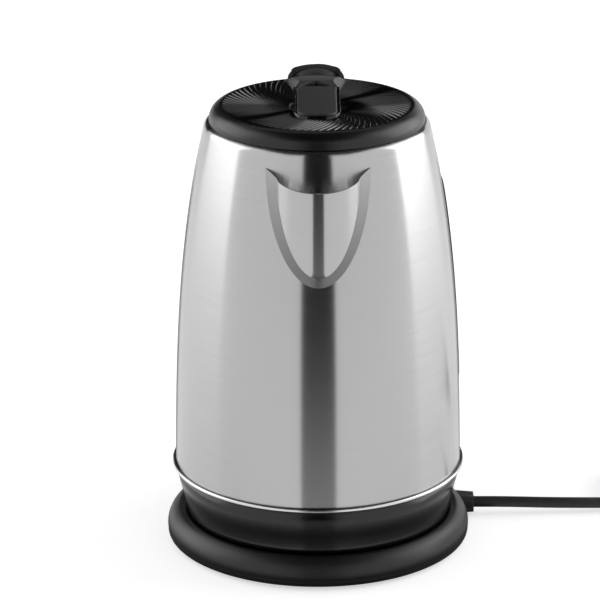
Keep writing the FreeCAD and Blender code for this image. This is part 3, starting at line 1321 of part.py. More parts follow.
def lid_button():
    y0 = -WELL_FRONT + BUTTON_GAP
    y1 = WELL_BACK - BUTTON_GAP
    lip_y = y1 - BUTTON_T
    nose_z = spine_top(y0)
    tail_z = spine_top(y1)
    edge = BUTTON_ROUND
    side = outline([(y0, BUTTON_LOW), (y0, nose_z - edge),
                    ((y0 + edge * 0.3, nose_z - edge * 0.3), (y0 + edge, nose_z)),
                    (lip_y - BUTTON_T, spine_top(lip_y)),
                    ((lip_y, spine_top(lip_y) + BUTTON_LIP / 2), (y1 - edge, tail_z + BUTTON_LIP)),
                    ((y1 - edge * 0.3, tail_z + BUTTON_LIP - edge * 0.3), (y1, tail_z + BUTTON_LIP - edge)),
                    (y1, BUTTON_LOW)], yz)
    cap = prism(side, V(2 * BUTTON_HALF_W, 0, 0))
    cap.translate(V(-BUTTON_HALF_W, 0, 0))
    flange_w = BUTTON_HALF_W + BUTTON_FLANGE
    flange = box(-flange_w, flange_w, y0 - BUTTON_FLANGE, y1 + BUTTON_FLANGE, BUTTON_LOW, BUTTON_FLANGE_TOP)
    shape = cam_outline(0.0)
    cam = slab(shape, CAM_HALF_W)
    stem = box(-CAM_HALF_W, CAM_HALF_W, shape[3][0], shape[2][0], CAM_HIGH - SNUG, BUTTON_LOW + SNUG)
    return joined([cap, flange, cam, stem])


def latch_slider():
    tip = -NECK_IN_R - LATCH_BITE
    bar = slab([(tip, LATCH_TOP), (tip, LATCH_TOP - LATCH_T / 2), (tip + LATCH_T / 2, LATCH_LOW),
                (-CAM_TAIL, LATCH_LOW), (-CAM_TAIL, LATCH_TOP)], LATCH_HALF_W)
    return bar.cut(slab(cam_outline(PLAY * math.sqrt(2)), CAM_HALF_W + PLAY))


def spring(radius, wire_r, turns, length):
    """Open coil along Z from its lower end, on arcs of a quarter turn with straight ends."""
    rise = (length - 2 * wire_r) / turns / 4
    quarters = int(turns * 4)
    way = V(0, math.pi / 2 * radius, rise).normalize()

    def at(i):
        angle = i * math.pi / 2
        return V(radius * math.cos(angle), radius * math.sin(angle), wire_r + rise * i)

    def heading(i):
        angle = math.degrees(i * math.pi / 2)
        return FreeCAD.Rotation(V(0, 0, 1), angle).multVec(way)

    edges = []
    for i in range(quarters):
        edges += biarc(at(i), heading(i), at(i + 1), heading(i + 1))
    path = Part.Wire(edges)
    print("spring least gap", round(rise * 4 - 2 * wire_r, 2))
    return swept(path, wire_r, at(0), heading(0))


save("lid_cover", lid_cover())
save("lid_liner", lid_liner())
save("lid_seal", tube(LINER_R + SCREW_FIT, SEAL_R, LINER_LOW + PLAY, LINER_LOW + PLAY + SEAL_H))
save("lid_screws", [screw(x, y, LINER_LOW, LID_SCREW_L) for x, y in LID_SCREWS])
save("lid_button", lid_button())
save("latch_slider", latch_slider())
button_spring = spring(SPRING_R, SPRING_WIRE_R, SPRING_TURNS, BUTTON_LOW - LINER_FLOOR)
button_spring.translate(V(0, BUTTON_SPRING_Y, LINER_FLOOR))
save("button_spring", button_spring)
lid_spring = spring(HINGE_SPRING_R, HINGE_SPRING_WIRE_R, HINGE_SPRING_TURNS, 2 * COIL_POCKET_HALF_L - PLAY)
lid_spring.rotate(V(0, 0, 0), V(0, 1, 0), 90)
lid_spring.translate(V(-COIL_POCKET_HALF_L + PLAY / 2, HINGE_Y, HINGE_Z))
save("lid_spring", lid_spring)
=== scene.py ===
import math

import bmesh
import bpy
import numpy as np
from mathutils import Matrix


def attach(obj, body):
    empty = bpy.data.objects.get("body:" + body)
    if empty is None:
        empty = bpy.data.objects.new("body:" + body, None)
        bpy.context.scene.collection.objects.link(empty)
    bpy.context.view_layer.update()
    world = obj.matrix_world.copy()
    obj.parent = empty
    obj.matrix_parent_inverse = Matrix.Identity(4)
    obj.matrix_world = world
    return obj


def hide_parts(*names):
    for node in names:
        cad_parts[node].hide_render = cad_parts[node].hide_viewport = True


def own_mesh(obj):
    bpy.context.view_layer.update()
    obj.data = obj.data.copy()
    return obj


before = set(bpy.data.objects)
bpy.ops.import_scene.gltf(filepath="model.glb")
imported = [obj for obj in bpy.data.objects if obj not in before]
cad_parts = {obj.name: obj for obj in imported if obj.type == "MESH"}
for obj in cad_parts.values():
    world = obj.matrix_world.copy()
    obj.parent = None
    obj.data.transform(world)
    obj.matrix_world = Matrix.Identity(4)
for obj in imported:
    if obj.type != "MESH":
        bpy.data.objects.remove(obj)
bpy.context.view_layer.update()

scene = bpy.context.scene
scene.view_settings.view_transform = "Standard"


# Camera: a long lens a little above the lid, looking down on the spout side. It stands slightly left of the
# middle, turned back towards the kettle and rolled by a quarter of a degree.
LOOK_DOWN, CAMERA_TURN, CAMERA_ROLL = 19.242, -0.208, -0.25
camera = bpy.data.objects.new("camera", bpy.data.cameras.new("camera"))
camera.data.sensor_width = 36.0
camera.data.lens = 218.27
camera.location = (-0.0157, -1.8, 0.7593)
camera.rotation_euler = (math.radians(90.0 - LOOK_DOWN), 0.0, math.radians(CAMERA_TURN))
camera.rotation_euler.rotate_axis("Z", math.radians(CAMERA_ROLL))
scene.collection.objects.link(camera)
scene.camera = camera


# Stage: a pale floor, white surroundings, tall soft boxes on both sides and the dark room behind the camera,
# which the steel shows as a dark upright stripe. Its sizes are in metres.
def linear(code):
    """sRGB hex to linear red, green, blue and alpha."""
    c = np.array([int(code[i:i + 2], 16) for i in (1, 3, 5)]) / 255.0
    c = np.where(c <= 0.04045, c / 12.92, ((c + 0.055) / 1.055) ** 2.4)
    return (*c.tolist(), 1.0)


def add(tree, kind, links=(), **settings):
    """
    Adds a node. Settings that start with in_ are its inputs, the others its properties; each link is a pair
    of another node's socket and the input that it feeds.
    """
    node = tree.nodes.new(kind)
    for key, value in settings.items():
        if key.startswith("in_"):
            place = key[3:]
            node.inputs[int(place) if place.isdigit() else place.replace("_", " ")].default_value = value
        else:
            setattr(node, key, value)
    for socket, place in links:
        tree.links.new(socket, node.inputs[place])
    return node


def seen_by_eye(tree):
    """1 for camera, glossy and transmission rays, 0 for the rays that light the object."""
    path = add(tree, "ShaderNodeLightPath").outputs
    first = add(tree, "ShaderNodeMath", [(path["Is Camera Ray"], 0), (path["Is Glossy Ray"], 1)],
                operation="MAXIMUM")
    return add(tree, "ShaderNodeMath", [(first.outputs[0], 0), (path["Is Transmission Ray"], 1)],
               operation="MAXIMUM").outputs[0]


SKY_LIGHT, SKY_SEEN = 0.45, 1.0
world = bpy.data.worlds.new("white_studio")
world.use_nodes = True
scene.world = world
sky = world.node_tree
sky.nodes.clear()
level = add(sky, "ShaderNodeMapRange", [(seen_by_eye(sky), "Value")], in_To_Min=SKY_LIGHT, in_To_Max=SKY_SEEN)
glow = add(sky, "ShaderNodeBackground", [(level.outputs["Result"], "Strength")], in_Color=linear("#ffffff"))
add(sky, "ShaderNodeOutputWorld", [(glow.outputs[0], "Surface")])


def stage_plane(name, corners):
    """One flat face through the corners, marked as part of the stage and not of the kettle."""
    mesh = bpy.data.meshes.new(name)
    mesh.from_pydata(corners, [], [tuple(range(len(corners)))])
    plane = bpy.data.objects.new(name, mesh)
    scene.collection.objects.link(plane)
    return plane


def lying(half_a, y_a, half_b, y_b, z):
    """Corners of a level card whose half width goes from half_a at y_a to half_b at y_b."""
    return [(-half_a, y_a, z), (half_a, y_a, z), (half_b, y_b, z), (-half_b, y_b, z)]


def upright(x_a, x_b, y, z_a, z_b):
    """Corners of a card that stands across the view."""
    return [(x_a, y, z_a), (x_b, y, z_a), (x_b, y, z_b), (x_a, y, z_b)]


# White paper: matt, and lit a little from itself so that it stays clean white in the view and in the steel.
PAPER_GREY, PAPER_LIFT, PAPER_CLEAN, FLOOR_HALF = 0.75, 0.45, 0.14, 6
floor = stage_plane("floor", lying(FLOOR_HALF, -FLOOR_HALF, FLOOR_HALF, FLOOR_HALF, 0))
paper = bpy.data.materials.new("white_paper")
paper.use_nodes = True
tree = paper.node_tree
tree.nodes.clear()
lift = add(tree, "ShaderNodeMath", [(seen_by_eye(tree), 0)], operation="MULTIPLY", in_1=PAPER_LIFT)
path = add(tree, "ShaderNodeLightPath")
clean = add(tree, "ShaderNodeMath", [(path.outputs["Is Camera Ray"], 0), (lift.outputs[0], 2)],
            operation="MULTIPLY_ADD", in_1=PAPER_CLEAN)
glow = add(tree, "ShaderNodeEmission", [(clean.outputs[0], "Strength")])
matt = add(tree, "ShaderNodeBsdfDiffuse", in_Color=(PAPER_GREY, PAPER_GREY, PAPER_GREY, 1.0))
both = add(tree, "ShaderNodeAddShader", [(glow.outputs[0], 0), (matt.outputs[0], 1)])
add(tree, "ShaderNodeOutputMaterial", [(both.outputs[0], "Surface")])
floor.data.materials.append(paper)

# Cards round the stage. The grey stripe on the floor is a painted reflection of the dark room in the table.
# It starts in front of the base, a little wider than the stripe that it gives the steel, and spreads from
# there to the dark room behind the camera.
REFLECTION_START, FADE_END, ROOM_Y, ROOM_TOP = -0.09, -0.60, -2.2, 2.0
CEILING_HALF, CEILING_END = 1.3, 1.2
BACK_Y, BACK_TOP, BACK_HALF, BACK_SPLIT, BACK_LOW, BACK_LOW_RIGHT = 2.0, 2.4, 1.5, 0.40, 0.32, 0.95
CARD_Z, CONTACT_SHADOW_R, CONTACT_SHADOW_Z = 0.0006, 0.098, 0.0009
TABLE_NEAR_HALF, TABLE_NEAR, TABLE_FAR_HALF, TABLE_FAR = 0.10, 0.08, 0.37, 0.75
CARD_X, CARD_FRONT, CARD_BACK, CARD_H = 0.150, -0.04, 0.15, 0.05
STRIPE_HALF, REFLECTION_NEAR, REFLECTION_FAR, REFLECTION_SPREAD = 0.0084, 0.0155, 2.125, math.tan(math.radians(14.0))
BLACK_CLOTH, CEILING_CLOTH, CONTACT_SHADOW_GREY, TABLE_GREY, ROOM_REFLECTION_GREY, CARD_WHITE = 0.02, 0.03, 0.12, 0.25, 0.45, 0.95


def flag(name, corners, near, far):
    """A card that only reflections see. Its tone runs from near to far between REFLECTION_START and FADE_END."""
    made = stage_plane(name, corners)
    made.visible_camera = False
    made.visible_diffuse = False
    made.visible_shadow = False
    tone = bpy.data.materials.new(name + "_cloth")
    tone.use_nodes = True
    tree = tone.node_tree
    tree.nodes.clear()
    place = add(tree, "ShaderNodeTexCoord")
    axes = add(tree, "ShaderNodeSeparateXYZ", [(place.outputs["Object"], "Vector")])
    run = add(tree, "ShaderNodeMapRange", [(axes.outputs["Y"], "Value")], interpolation_type="SMOOTHSTEP",
              in_From_Min=REFLECTION_START, in_From_Max=FADE_END, in_To_Min=near, in_To_Max=far)
    glow = add(tree, "ShaderNodeEmission", [(run.outputs["Result"], "Strength")])
    add(tree, "ShaderNodeOutputMaterial", [(glow.outputs[0], "Surface")])
    made.data.materials.append(tone)


near_half = STRIPE_HALF + REFLECTION_NEAR * REFLECTION_SPREAD
far_half = STRIPE_HALF + REFLECTION_FAR * REFLECTION_SPREAD
# Painted reflection of the dark room in the table: grey near the base, black towards the room.
flag("painted_room_reflection", lying(near_half, REFLECTION_START, far_half, ROOM_Y, CARD_Z), ROOM_REFLECTION_GREY, BLACK_CLOTH)
flag("dark_room", upright(-far_half, far_half, ROOM_Y, 0.0, ROOM_TOP), BLACK_CLOTH, BLACK_CLOTH)
flag("dark_ceiling", lying(CEILING_HALF, ROOM_Y, CEILING_HALF, CEILING_END, ROOM_TOP),
     CEILING_CLOTH, BLACK_CLOTH)
flag("dark_back", upright(-BACK_HALF, BACK_SPLIT, BACK_Y, BACK_LOW, BACK_TOP), BLACK_CLOTH, BLACK_CLOTH)
flag("dark_back_right", upright(BACK_SPLIT, BACK_HALF, BACK_Y, BACK_LOW_RIGHT, BACK_TOP),
     BLACK_CLOTH, BLACK_CLOTH)
flag("dark_table", lying(TABLE_NEAR_HALF, TABLE_NEAR, TABLE_FAR_HALF, TABLE_FAR, CARD_Z),
     TABLE_GREY, TABLE_GREY)
# A grey disc round the base, seen only in reflections, is a painted contact shadow on the floor under the
# kettle.
around = np.linspace(0.0, 2 * np.pi, 48, endpoint=False)
contact_shadow = np.stack([CONTACT_SHADOW_R * np.cos(around), CONTACT_SHADOW_R * np.sin(around), 0 * around + CONTACT_SHADOW_Z], -1)
flag("painted_contact_shadow", contact_shadow.tolist(), CONTACT_SHADOW_GREY, CONTACT_SHADOW_GREY)
card = [(CARD_X, CARD_FRONT, 0.0), (CARD_X, CARD_BACK, 0.0),
        (CARD_X, CARD_BACK, CARD_H), (CARD_X, CARD_FRONT, CARD_H)]
flag("white_card", card, CARD_WHITE, CARD_WHITE)


def soft_box(name, place, target, width, height, power):
    """A rectangular area light at place, turned to the target, in metres and watts."""
    light = bpy.data.objects.new(name, bpy.data.lights.new(name, "AREA"))
    light.data.shape = "RECTANGLE"
    light.data.size = width
    light.data.size_y = height
    light.data.energy = power
    light.location = place
    way = np.array(place) - np.array(target)
    light.rotation_euler = (math.acos(way[2] / np.linalg.norm(way)), 0.0, math.atan2(way[0], -way[1]))
    scene.collection.objects.link(light)


SIDE_AIM, OVER_AIM = (0, 0, 0.15), (0, 0, 0.1)
soft_box("soft_box_left", (-1.45, 0.45, 0.68), SIDE_AIM, 1.5, 1.3, 9.5)
soft_box("soft_box_right", (1.45, 0.45, 0.68), SIDE_AIM, 1.5, 1.3, 13.0)
soft_box("over_left", (-1.0, 0.1, 1.4), OVER_AIM, 0.7, 0.7, 0.5)
soft_box("over_right", (1.0, 0.1, 1.4), OVER_AIM, 0.7, 0.7, 0.8)


# Supply lead: a 6 mm round PVC-sheathed mains lead, 0.73 m long. It leaves the strain relief on the right,
# lies on the table and is put away in a tied coil just outside the view. Sizes are in millimetres from here.
MM, MM_PER_M = 0.001, 1000.0
GLOSS_PATCH, GLOSS_SPREAD, GRAIN_HEIGHT = 25.0, 0.04, 0.2


def surface(name, colour, metallic, roughness):
    """A new principled material; returns it with its tree and shader."""
    made = bpy.data.materials.new(name)
    made.use_nodes = True
    tree = made.node_tree
    shader = tree.nodes["Principled BSDF"]
    shader.inputs["Base Color"].default_value = linear(colour)
    shader.inputs["Metallic"].default_value = metallic
    shader.inputs["Roughness"].default_value = roughness
    return made, tree, shader


def moulded(name, colour, roughness, grain_mm, depth):
    """
    Moulded plastic or rubber: a fine sparked grain in the height and a little change in the gloss. The grain
    is drawn coarser than a real one, so that it shows.
    """
    made, tree, shader = surface(name, colour, 0.0, roughness)
    place = add(tree, "ShaderNodeTexCoord")
    grain = add(tree, "ShaderNodeTexNoise", [(place.outputs["Object"], "Vector")],
                in_Scale=MM_PER_M / grain_mm, in_Detail=3.0, in_Roughness=0.6)
    cloud = add(tree, "ShaderNodeTexNoise", [(place.outputs["Object"], "Vector")],
                in_Scale=MM_PER_M / GLOSS_PATCH, in_Detail=2.0)
    gloss = add(tree, "ShaderNodeMapRange", [(cloud.outputs["Fac"], "Value")],
                in_To_Min=roughness - GLOSS_SPREAD, in_To_Max=roughness + GLOSS_SPREAD)
    bump = add(tree, "ShaderNodeBump", [(grain.outputs["Fac"], "Height")],
               in_Strength=depth, in_Distance=GRAIN_HEIGHT * MM)
    tree.links.new(gloss.outputs["Result"], shader.inputs["Roughness"])
    tree.links.new(bump.outputs["Normal"], shader.inputs["Normal"])
    return made


# Rubber-like PVC sheath, extruded: dull dark grey with a fine grain.
sheath = moulded("pvc_sheath", "#151516", 0.55, 0.8, 0.25)
LEAD_R = 3.0
GLAND_FACE = np.array([84.31, 24.0, 6.5])
COIL = np.array([196.0, 61.4625])
COIL_MID_R, COIL_TURNS, COIL_STEP, COIL_LOW = 30.0, 3.25, 6.6, 4.6
IN_GLAND, TO_PLUG, IN_PLUG = [6.0, 0, 0], [[0, 6.0, 0]], [[0, 14.0, 0]]

# The coil winds in by one step a turn on the table, climbs one step over half a turn and winds out on top.
half_turns = COIL_TURNS / 2
turn = np.linspace(0.0, COIL_TURNS, 53)
coil_r = COIL_MID_R + COIL_TURNS * COIL_STEP / 4 - COIL_STEP * (half_turns - np.abs(turn - half_turns))
climb = np.clip(turn - half_turns + 0.25, 0.0, 0.5) * 2
coil_z = COIL_LOW + COIL_STEP * (3 * climb**2 - 2 * climb**3)
coil_angle = 2 * np.pi * turn - np.pi / 2
coil_x = COIL[0] + coil_r * np.cos(coil_angle)
coil_y = COIL[1] + coil_r * np.sin(coil_angle)
coil_route = np.stack([coil_x, coil_y, coil_z], -1)
lead_route = np.concatenate([
    [GLAND_FACE - IN_GLAND, GLAND_FACE],
    GLAND_FACE + np.array([[17.0, 0.2, -0.2], [40.0, 0.9, -1.2], [63.0, 1.7, -1.8], [86.0, 2.1, -2.0]]),
    coil_route, coil_route[-1:] + TO_PLUG, coil_route[-1:] + IN_PLUG])
lead_curve = bpy.data.curves.new("supply_lead", "CURVE")
lead_curve.dimensions = "3D"
lead_curve.bevel_depth = LEAD_R * MM
lead_curve.bevel_resolution = 5
lead_curve.resolution_u = 8
lead_curve.use_fill_caps = True
spline = lead_curve.splines.new("NURBS")
spline.points.add(len(lead_route) - 1)
spline.points.foreach_set("co", np.hstack([lead_route * MM, np.ones((len(lead_route), 1))]).ravel())
spline.order_u = 3
spline.use_endpoint_u = True
lead_curve.materials.append(sheath)
lead = bpy.data.objects.new("supply_lead", lead_curve)
scene.collection.objects.link(lead)
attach(lead, "base")
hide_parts("power_cord", "power_cord_coil")


# Strain relief, coil tie and plug: the relief is moulded on the lead in the sheath's PVC, the tie and plug
# are black plastic. The plug's pins and earth clips are plated brass, held in its body.
def finished(name, mesh, material, sharp):
    """Links a mesh as an object at the origin, smooth except where faces meet at more than sharp degrees."""
    mesh.polygons.foreach_set("use_smooth", np.ones(len(mesh.polygons), bool))
    mesh.set_sharp_from_angle(angle=math.radians(sharp))
    mesh.materials.clear()
    mesh.materials.append(material)
    thing = bpy.data.objects.new(name, mesh)
    scene.collection.objects.link(thing)
    return thing


def smooth_copy(node, material, sharp=32.0):
    """A merged, smooth-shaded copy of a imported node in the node's place."""
    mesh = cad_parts[node].data.copy()
    merged = bmesh.new()
    merged.from_mesh(mesh)
    bmesh.ops.remove_doubles(merged, verts=merged.verts, dist=2e-6)
    merged.to_mesh(mesh)
    merged.free()
    return finished(node + "_skin", mesh, material, sharp)


# Black ABS from a sparked mould: satin, near black.
black_abs = moulded("black_abs", "#0a0a0b", 0.40, 0.5, 0.25)
gland = smooth_copy("cord_gland", sheath)
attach(gland, "base")
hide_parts("cord_gland")
tie = smooth_copy("cord_tie", black_abs)
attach(tie, "base")
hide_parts("cord_tie")
plug = smooth_copy("plug_body", black_abs)
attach(plug, "base")
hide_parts("plug_body")

SCRATCH_LOW, SCRATCH_HIGH = 0.7, 1.3


def metal(name, colour, roughness, scratch_mm):
    """Plain worked metal: scratches, drawn coarser than real ones so that they show, vary the gloss."""
    made, tree, shader = surface(name, colour, 1.0, roughness)
    place = add(tree, "ShaderNodeTexCoord")
    scratch = add(tree, "ShaderNodeTexNoise", [(place.outputs["Object"], "Vector")],
                  in_Scale=MM_PER_M / scratch_mm, in_Detail=4.0)
    gloss = add(tree, "ShaderNodeMapRange", [(scratch.outputs["Fac"], "Value")],
                in_To_Min=roughness * SCRATCH_LOW, in_To_Max=roughness * SCRATCH_HIGH)
    tree.links.new(gloss.outputs["Result"], shader.inputs["Roughness"])
    return made


def dress(material, *nodes):
    """CAD nodes whose shape is right keep their meshes and take a finish."""
    for node in nodes:
        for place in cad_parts[node].material_slots:
            place.material = material


# Plated brass, turned and pressed: pale gold and fairly bright.
plated_brass = metal("plated_brass", "#c9b27a", 0.25, 1.5)
dress(plated_brass, "plug_pins", "plug_earth_clips")


# Power base: a one-piece cover with a fat rolled rim and a dish for the jug, moulded in satin black ABS. It
# is one profile turned round the upright axis; screws from below hold it to the bottom plate.
def piece(name, grids, material, sharp=35.0):
    """
    One mesh from several grids of points, each (rows, columns, 3), with quads between neighbours. Each grid
    comes with two marks that say whether its last row joins its first and its last column its first.
    """
    points = []
    faces = []
    start = 0
    for grid, round_rows, round_columns in grids:
        n, m = grid.shape[:2]
        index = np.arange(n * m).reshape(n, m) + start
        index = np.vstack([index, index[:1]]) if round_rows else index
        index = np.hstack([index, index[:, :1]]) if round_columns else index
        quads = np.stack([index[:-1, :-1], index[1:, :-1], index[1:, 1:], index[:-1, 1:]], -1)
        points.append(grid.reshape(-1, 3))
        faces.append(quads.reshape(-1, 4))
        start += n * m
    mesh = bpy.data.meshes.new(name)
    mesh.from_pydata((np.concatenate(points) * MM).tolist(), [], np.concatenate(faces).tolist())
    merged = bmesh.new()
    merged.from_mesh(mesh)
    bmesh.ops.remove_doubles(merged, verts=merged.verts, dist=1e-6)
    bmesh.ops.dissolve_degenerate(merged, edges=merged.edges, dist=1e-7)
    bmesh.ops.recalc_face_normals(merged, faces=merged.faces)
    merged.to_mesh(mesh)
    merged.free()
    return finished(name, mesh, material, sharp)


def line(a, b, count=2):
    """Points on the straight line from a to b."""
    return np.linspace(a, b, count)


def arc(a, m, b, count=12):
    """Points on the circle through a, m and b, from a to b."""
    a, m, b = (np.array(v, float) for v in (a, m, b))
    d = 2 * (a[0] * (m[1] - b[1]) + m[0] * (b[1] - a[1]) + b[0] * (a[1] - m[1]))
    sq = [v @ v for v in (a, m, b)]
    c = np.array([sq[0] * (m[1] - b[1]) + sq[1] * (b[1] - a[1]) + sq[2] * (a[1] - m[1]),
                  sq[0] * (b[0] - m[0]) + sq[1] * (a[0] - b[0]) + sq[2] * (m[0] - a[0])]) / d
    t0, tm, t1 = (math.atan2(*(v - c)[::-1]) for v in (a, m, b))
    span = (t1 - t0) % (2 * math.pi)
    if (tm - t0) % (2 * math.pi) > span:
        span -= 2 * math.pi
    t = t0 + span * np.linspace(0.0, 1.0, count)
    return c + np.linalg.norm(a - c) * np.stack([np.cos(t), np.sin(t)], -1)


def turned(profile, count=192):
    """A profile of (radius, height) carried round the upright axis."""
    angle = np.linspace(0.0, 2 * np.pi, count, endpoint=False)
    r, z = profile[:, :1], profile[:, 1:]
    return np.stack([r * np.cos(angle), r * np.sin(angle), z + 0 * angle], -1)


# BOW is the middle of a quarter round. The rim rises from the dish to its crest and rolls over to the widest
# line; the hem below it turns in, and the inside follows one wall thickness away.
BOW = math.sqrt(0.5)
HUB_R, DISH_R, CREST_R, BASE_R = 16.9, 67.5, 74.0, 80.0
DISH_FLOOR, CREST_Z, WIDEST_Z, HEM_Z, HEM_IN, COVER_T = 11.0, 16.5, 5.0, 1.6, 1.6, 2.4
roll_w, roll_h = BASE_R - CREST_R, CREST_Z - WIDEST_Z
hem_r = BASE_R - HEM_IN
dish_mid = (DISH_R + (CREST_R - DISH_R) * (1 - BOW), DISH_FLOOR + (CREST_Z - DISH_FLOOR) * BOW)
roll_mid = (CREST_R + roll_w * BOW, WIDEST_Z + roll_h * BOW)
hem_mid = (BASE_R - HEM_IN * (1 - BOW), WIDEST_Z - (WIDEST_Z - HEM_Z) * BOW)
inner_mid = (CREST_R + (roll_w - COVER_T) * BOW, WIDEST_Z + (roll_h - COVER_T) * BOW)
cover_profile = np.concatenate([
    line((HUB_R, DISH_FLOOR), (DISH_R, DISH_FLOOR), 4),
    arc((DISH_R, DISH_FLOOR), dish_mid, (CREST_R, CREST_Z), 14),
    arc((CREST_R, CREST_Z), roll_mid, (BASE_R, WIDEST_Z), 24),
    arc((BASE_R, WIDEST_Z), hem_mid, (hem_r, HEM_Z), 8),
    line((hem_r - COVER_T, HEM_Z), (BASE_R - COVER_T, WIDEST_Z)),
    arc((BASE_R - COVER_T, WIDEST_Z), inner_mid, (CREST_R, CREST_Z - COVER_T), 10),
    line((DISH_R + COVER_T / 2, DISH_FLOOR - COVER_T), (HUB_R, DISH_FLOOR - COVER_T), 3)])
base_cover = piece("base_cover_skin", [(turned(cover_profile), True, True)], black_abs)
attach(base_cover, "base")
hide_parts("base_cover")


# Inside and under the power base: the bottom plate and contact hub in black ABS, brass sleeves, sheathed
# cores, plated screws from below and a rubber foot ring pressed into its seat.
# Zinc-plated steel: grey and half bright.
zinc = metal("zinc_plated_steel", "#a9abad", 0.35, 1.2)
# Moulded foot rubber: quite dull, so that it hardly shines at its edges.
foot_rubber = moulded("foot_rubber", "#1b1b1b", 0.75, 0.9, 0.3)
dress(black_abs, "base_plate", "base_socket", "socket_shutter")
dress(plated_brass, "base_contacts")
dress(sheath, "base_wiring")
dress(zinc, "base_screws")
dress(foot_rubber, "base_foot_ring")


# Jug base: the tapered black skirt under the steel, moulded in polished ABS and screwed to the heater's
# studs. Its lip over the bright ring is drawn in and thinned, and the ring's groove is made narrower.
def points_mm(thing):
    """The vertices of a mesh in millimetres, one row each."""
    flat = np.empty(len(thing.data.vertices) * 3)
    thing.data.vertices.foreach_get("co", flat)
    return flat.reshape(-1, 3) * MM_PER_M


def put_points(thing, points):
    """Moves the vertices of a mesh to points in millimetres."""
    thing.data.vertices.foreach_set("co", (points * MM).ravel())


# Polished black ABS: the mould is smooth here, so the plastic is near black and its gloss does the drawing.
gloss_abs = moulded("gloss_abs", "#060607", 0.22, 0.5, 0.06)
LEDGE_R, LEDGE_Z, BODY_LOW_R = 77.2, 44.0, 75.45
LIP_T, LIP_LOW, PACKED_LIP_T, LIP_SHARE = 0.25, 43.3, 0.6, 0.45
GROOVE_R, GROOVE_LOW, GROOVE_NEAR, RING_LOW = 75.0, 40.1, 0.05, 41.85
jug_base = smooth_copy("jug_base", gloss_abs)
spots = points_mm(jug_base)
spot_r = np.hypot(spots[:, 0], spots[:, 1])
in_lip = (spots[:, 2] > LIP_LOW) & (spot_r > BODY_LOW_R)
thin_r = np.where(in_lip, BODY_LOW_R + (spot_r - BODY_LOW_R) * LIP_SHARE, spot_r)
spots[:, :2] *= (thin_r / spot_r)[:, None]
spots[:, 2] = np.where(in_lip, LEDGE_Z - (LEDGE_Z - spots[:, 2]) * LIP_T / PACKED_LIP_T, spots[:, 2])
in_groove = (np.abs(spots[:, 2] - GROOVE_LOW) < GROOVE_NEAR) & (spot_r > GROOVE_R)
spots[:, 2] = np.where(in_groove, RING_LOW, spots[:, 2])
put_points(jug_base, spots)
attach(jug_base, "jug")
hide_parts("jug_base")


# Bright trim ring: a chromed hoop let into the groove under the skirt's lip. Its face is a shallow round, and
# it is one profile turned round the upright axis.
RING_BACK_R, RING_FOOT_R, RING_MID_Z, RING_SWELL, RING_TOP_IN = 75.35, 76.5, 43.0, 0.02, 0.4
RING_TOP_R, RING_TOP = LEDGE_R - RING_TOP_IN, LEDGE_Z - LIP_T
# Polished chrome: bright, with a soft edge to what it reflects.
polished = metal("polished_chrome", "#d7d8da", 0.20, 4.0)
ring_profile = np.concatenate([
    line((RING_BACK_R, RING_TOP), (RING_TOP_R, RING_TOP)),
    arc((RING_TOP_R, RING_TOP), (LEDGE_R + RING_SWELL, RING_MID_Z), (RING_FOOT_R, RING_LOW), 14),
    line((RING_BACK_R, RING_LOW), (RING_BACK_R, RING_TOP))])
ring = piece("trim_ring_skin", [(turned(ring_profile), True, True)], polished)
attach(ring, "jug")
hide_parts("trim_ring")


# Heater, thermostat and switch inside the jug base: a drawn steel floor with an aluminium heater under it, a
# black control with brass contacts and discs, and the switch lever, which rocks on its pin below the handle.
# Drawn stainless floor: bright and smooth.
floor_steel = metal("floor_steel", "#b4b5b6", 0.28, 2.0)
# Cast aluminium: pale grey and matt.
cast_aluminium = metal("cast_aluminium", "#a8aaac", 0.5, 1.0)
dress(floor_steel, "heating_plate")
dress(cast_aluminium, "heat_spreader", "heating_element")
dress(plated_brass, "control_contacts", "bimetal_discs")
dress(black_abs, "control_body")
dress(zinc, "control_screws", "jug_base_screws", "switch_pin")
lever = smooth_copy("switch_lever", black_abs)
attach(lever, "lever")
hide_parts("switch_lever")


# Steel body: deep-drawn stainless shell, belt-brushed round the axis, so that its reflections stretch up and
# down. Rounded shoulder and a hem turned in at the rim.
BODY_TOP_R, BODY_TOP_Z, LOW_SLOPE, TOP_SLOPE = 57.9, 229.8, 0.013, 0.237


def body_r(z):
    """Outer radius: a cubic in height from the ledge to the rim with given end slopes."""
    span = BODY_TOP_Z - LEDGE_Z
    t = (z - LEDGE_Z) / span
    low = (2 * t**3 - 3 * t**2 + 1) * BODY_LOW_R - (t**3 - 2 * t**2 + t) * span * LOW_SLOPE
    return low + (3 * t**2 - 2 * t**3) * BODY_TOP_R - (t**3 - t**2) * span * TOP_SLOPE


# Brushed stainless: long fine strokes round the axis change the gloss and the tone a little. They are drawn
# about 1 mm apart, coarser than real ones, so that they show; the tangent round the axis spreads highlights.
STEEL_COLOUR, STROKE_W, STROKES_ROUND = "#bbbbbc", 10 / 9, 1.5
brushed, tree, shader = surface("brushed_stainless", STEEL_COLOUR, 1.0, 0.22)
shader.inputs["Anisotropic"].default_value = 0.95
shader.inputs["Anisotropic Rotation"].default_value = 0.25
place = add(tree, "ShaderNodeTexCoord")
axes = add(tree, "ShaderNodeSeparateXYZ", [(place.outputs["Object"], "Vector")])
turn_angle = add(tree, "ShaderNodeMath", [(axes.outputs["X"], 0), (axes.outputs["Y"], 1)],
                 operation="ARCTAN2")
lay = add(tree, "ShaderNodeCombineXYZ", [(turn_angle.outputs[0], "X"), (axes.outputs["Z"], "Z")])
strokes = add(tree, "ShaderNodeMapping", [(lay.outputs[0], "Vector")],
              in_Scale=(STROKES_ROUND, 1.0, MM_PER_M / STROKE_W))
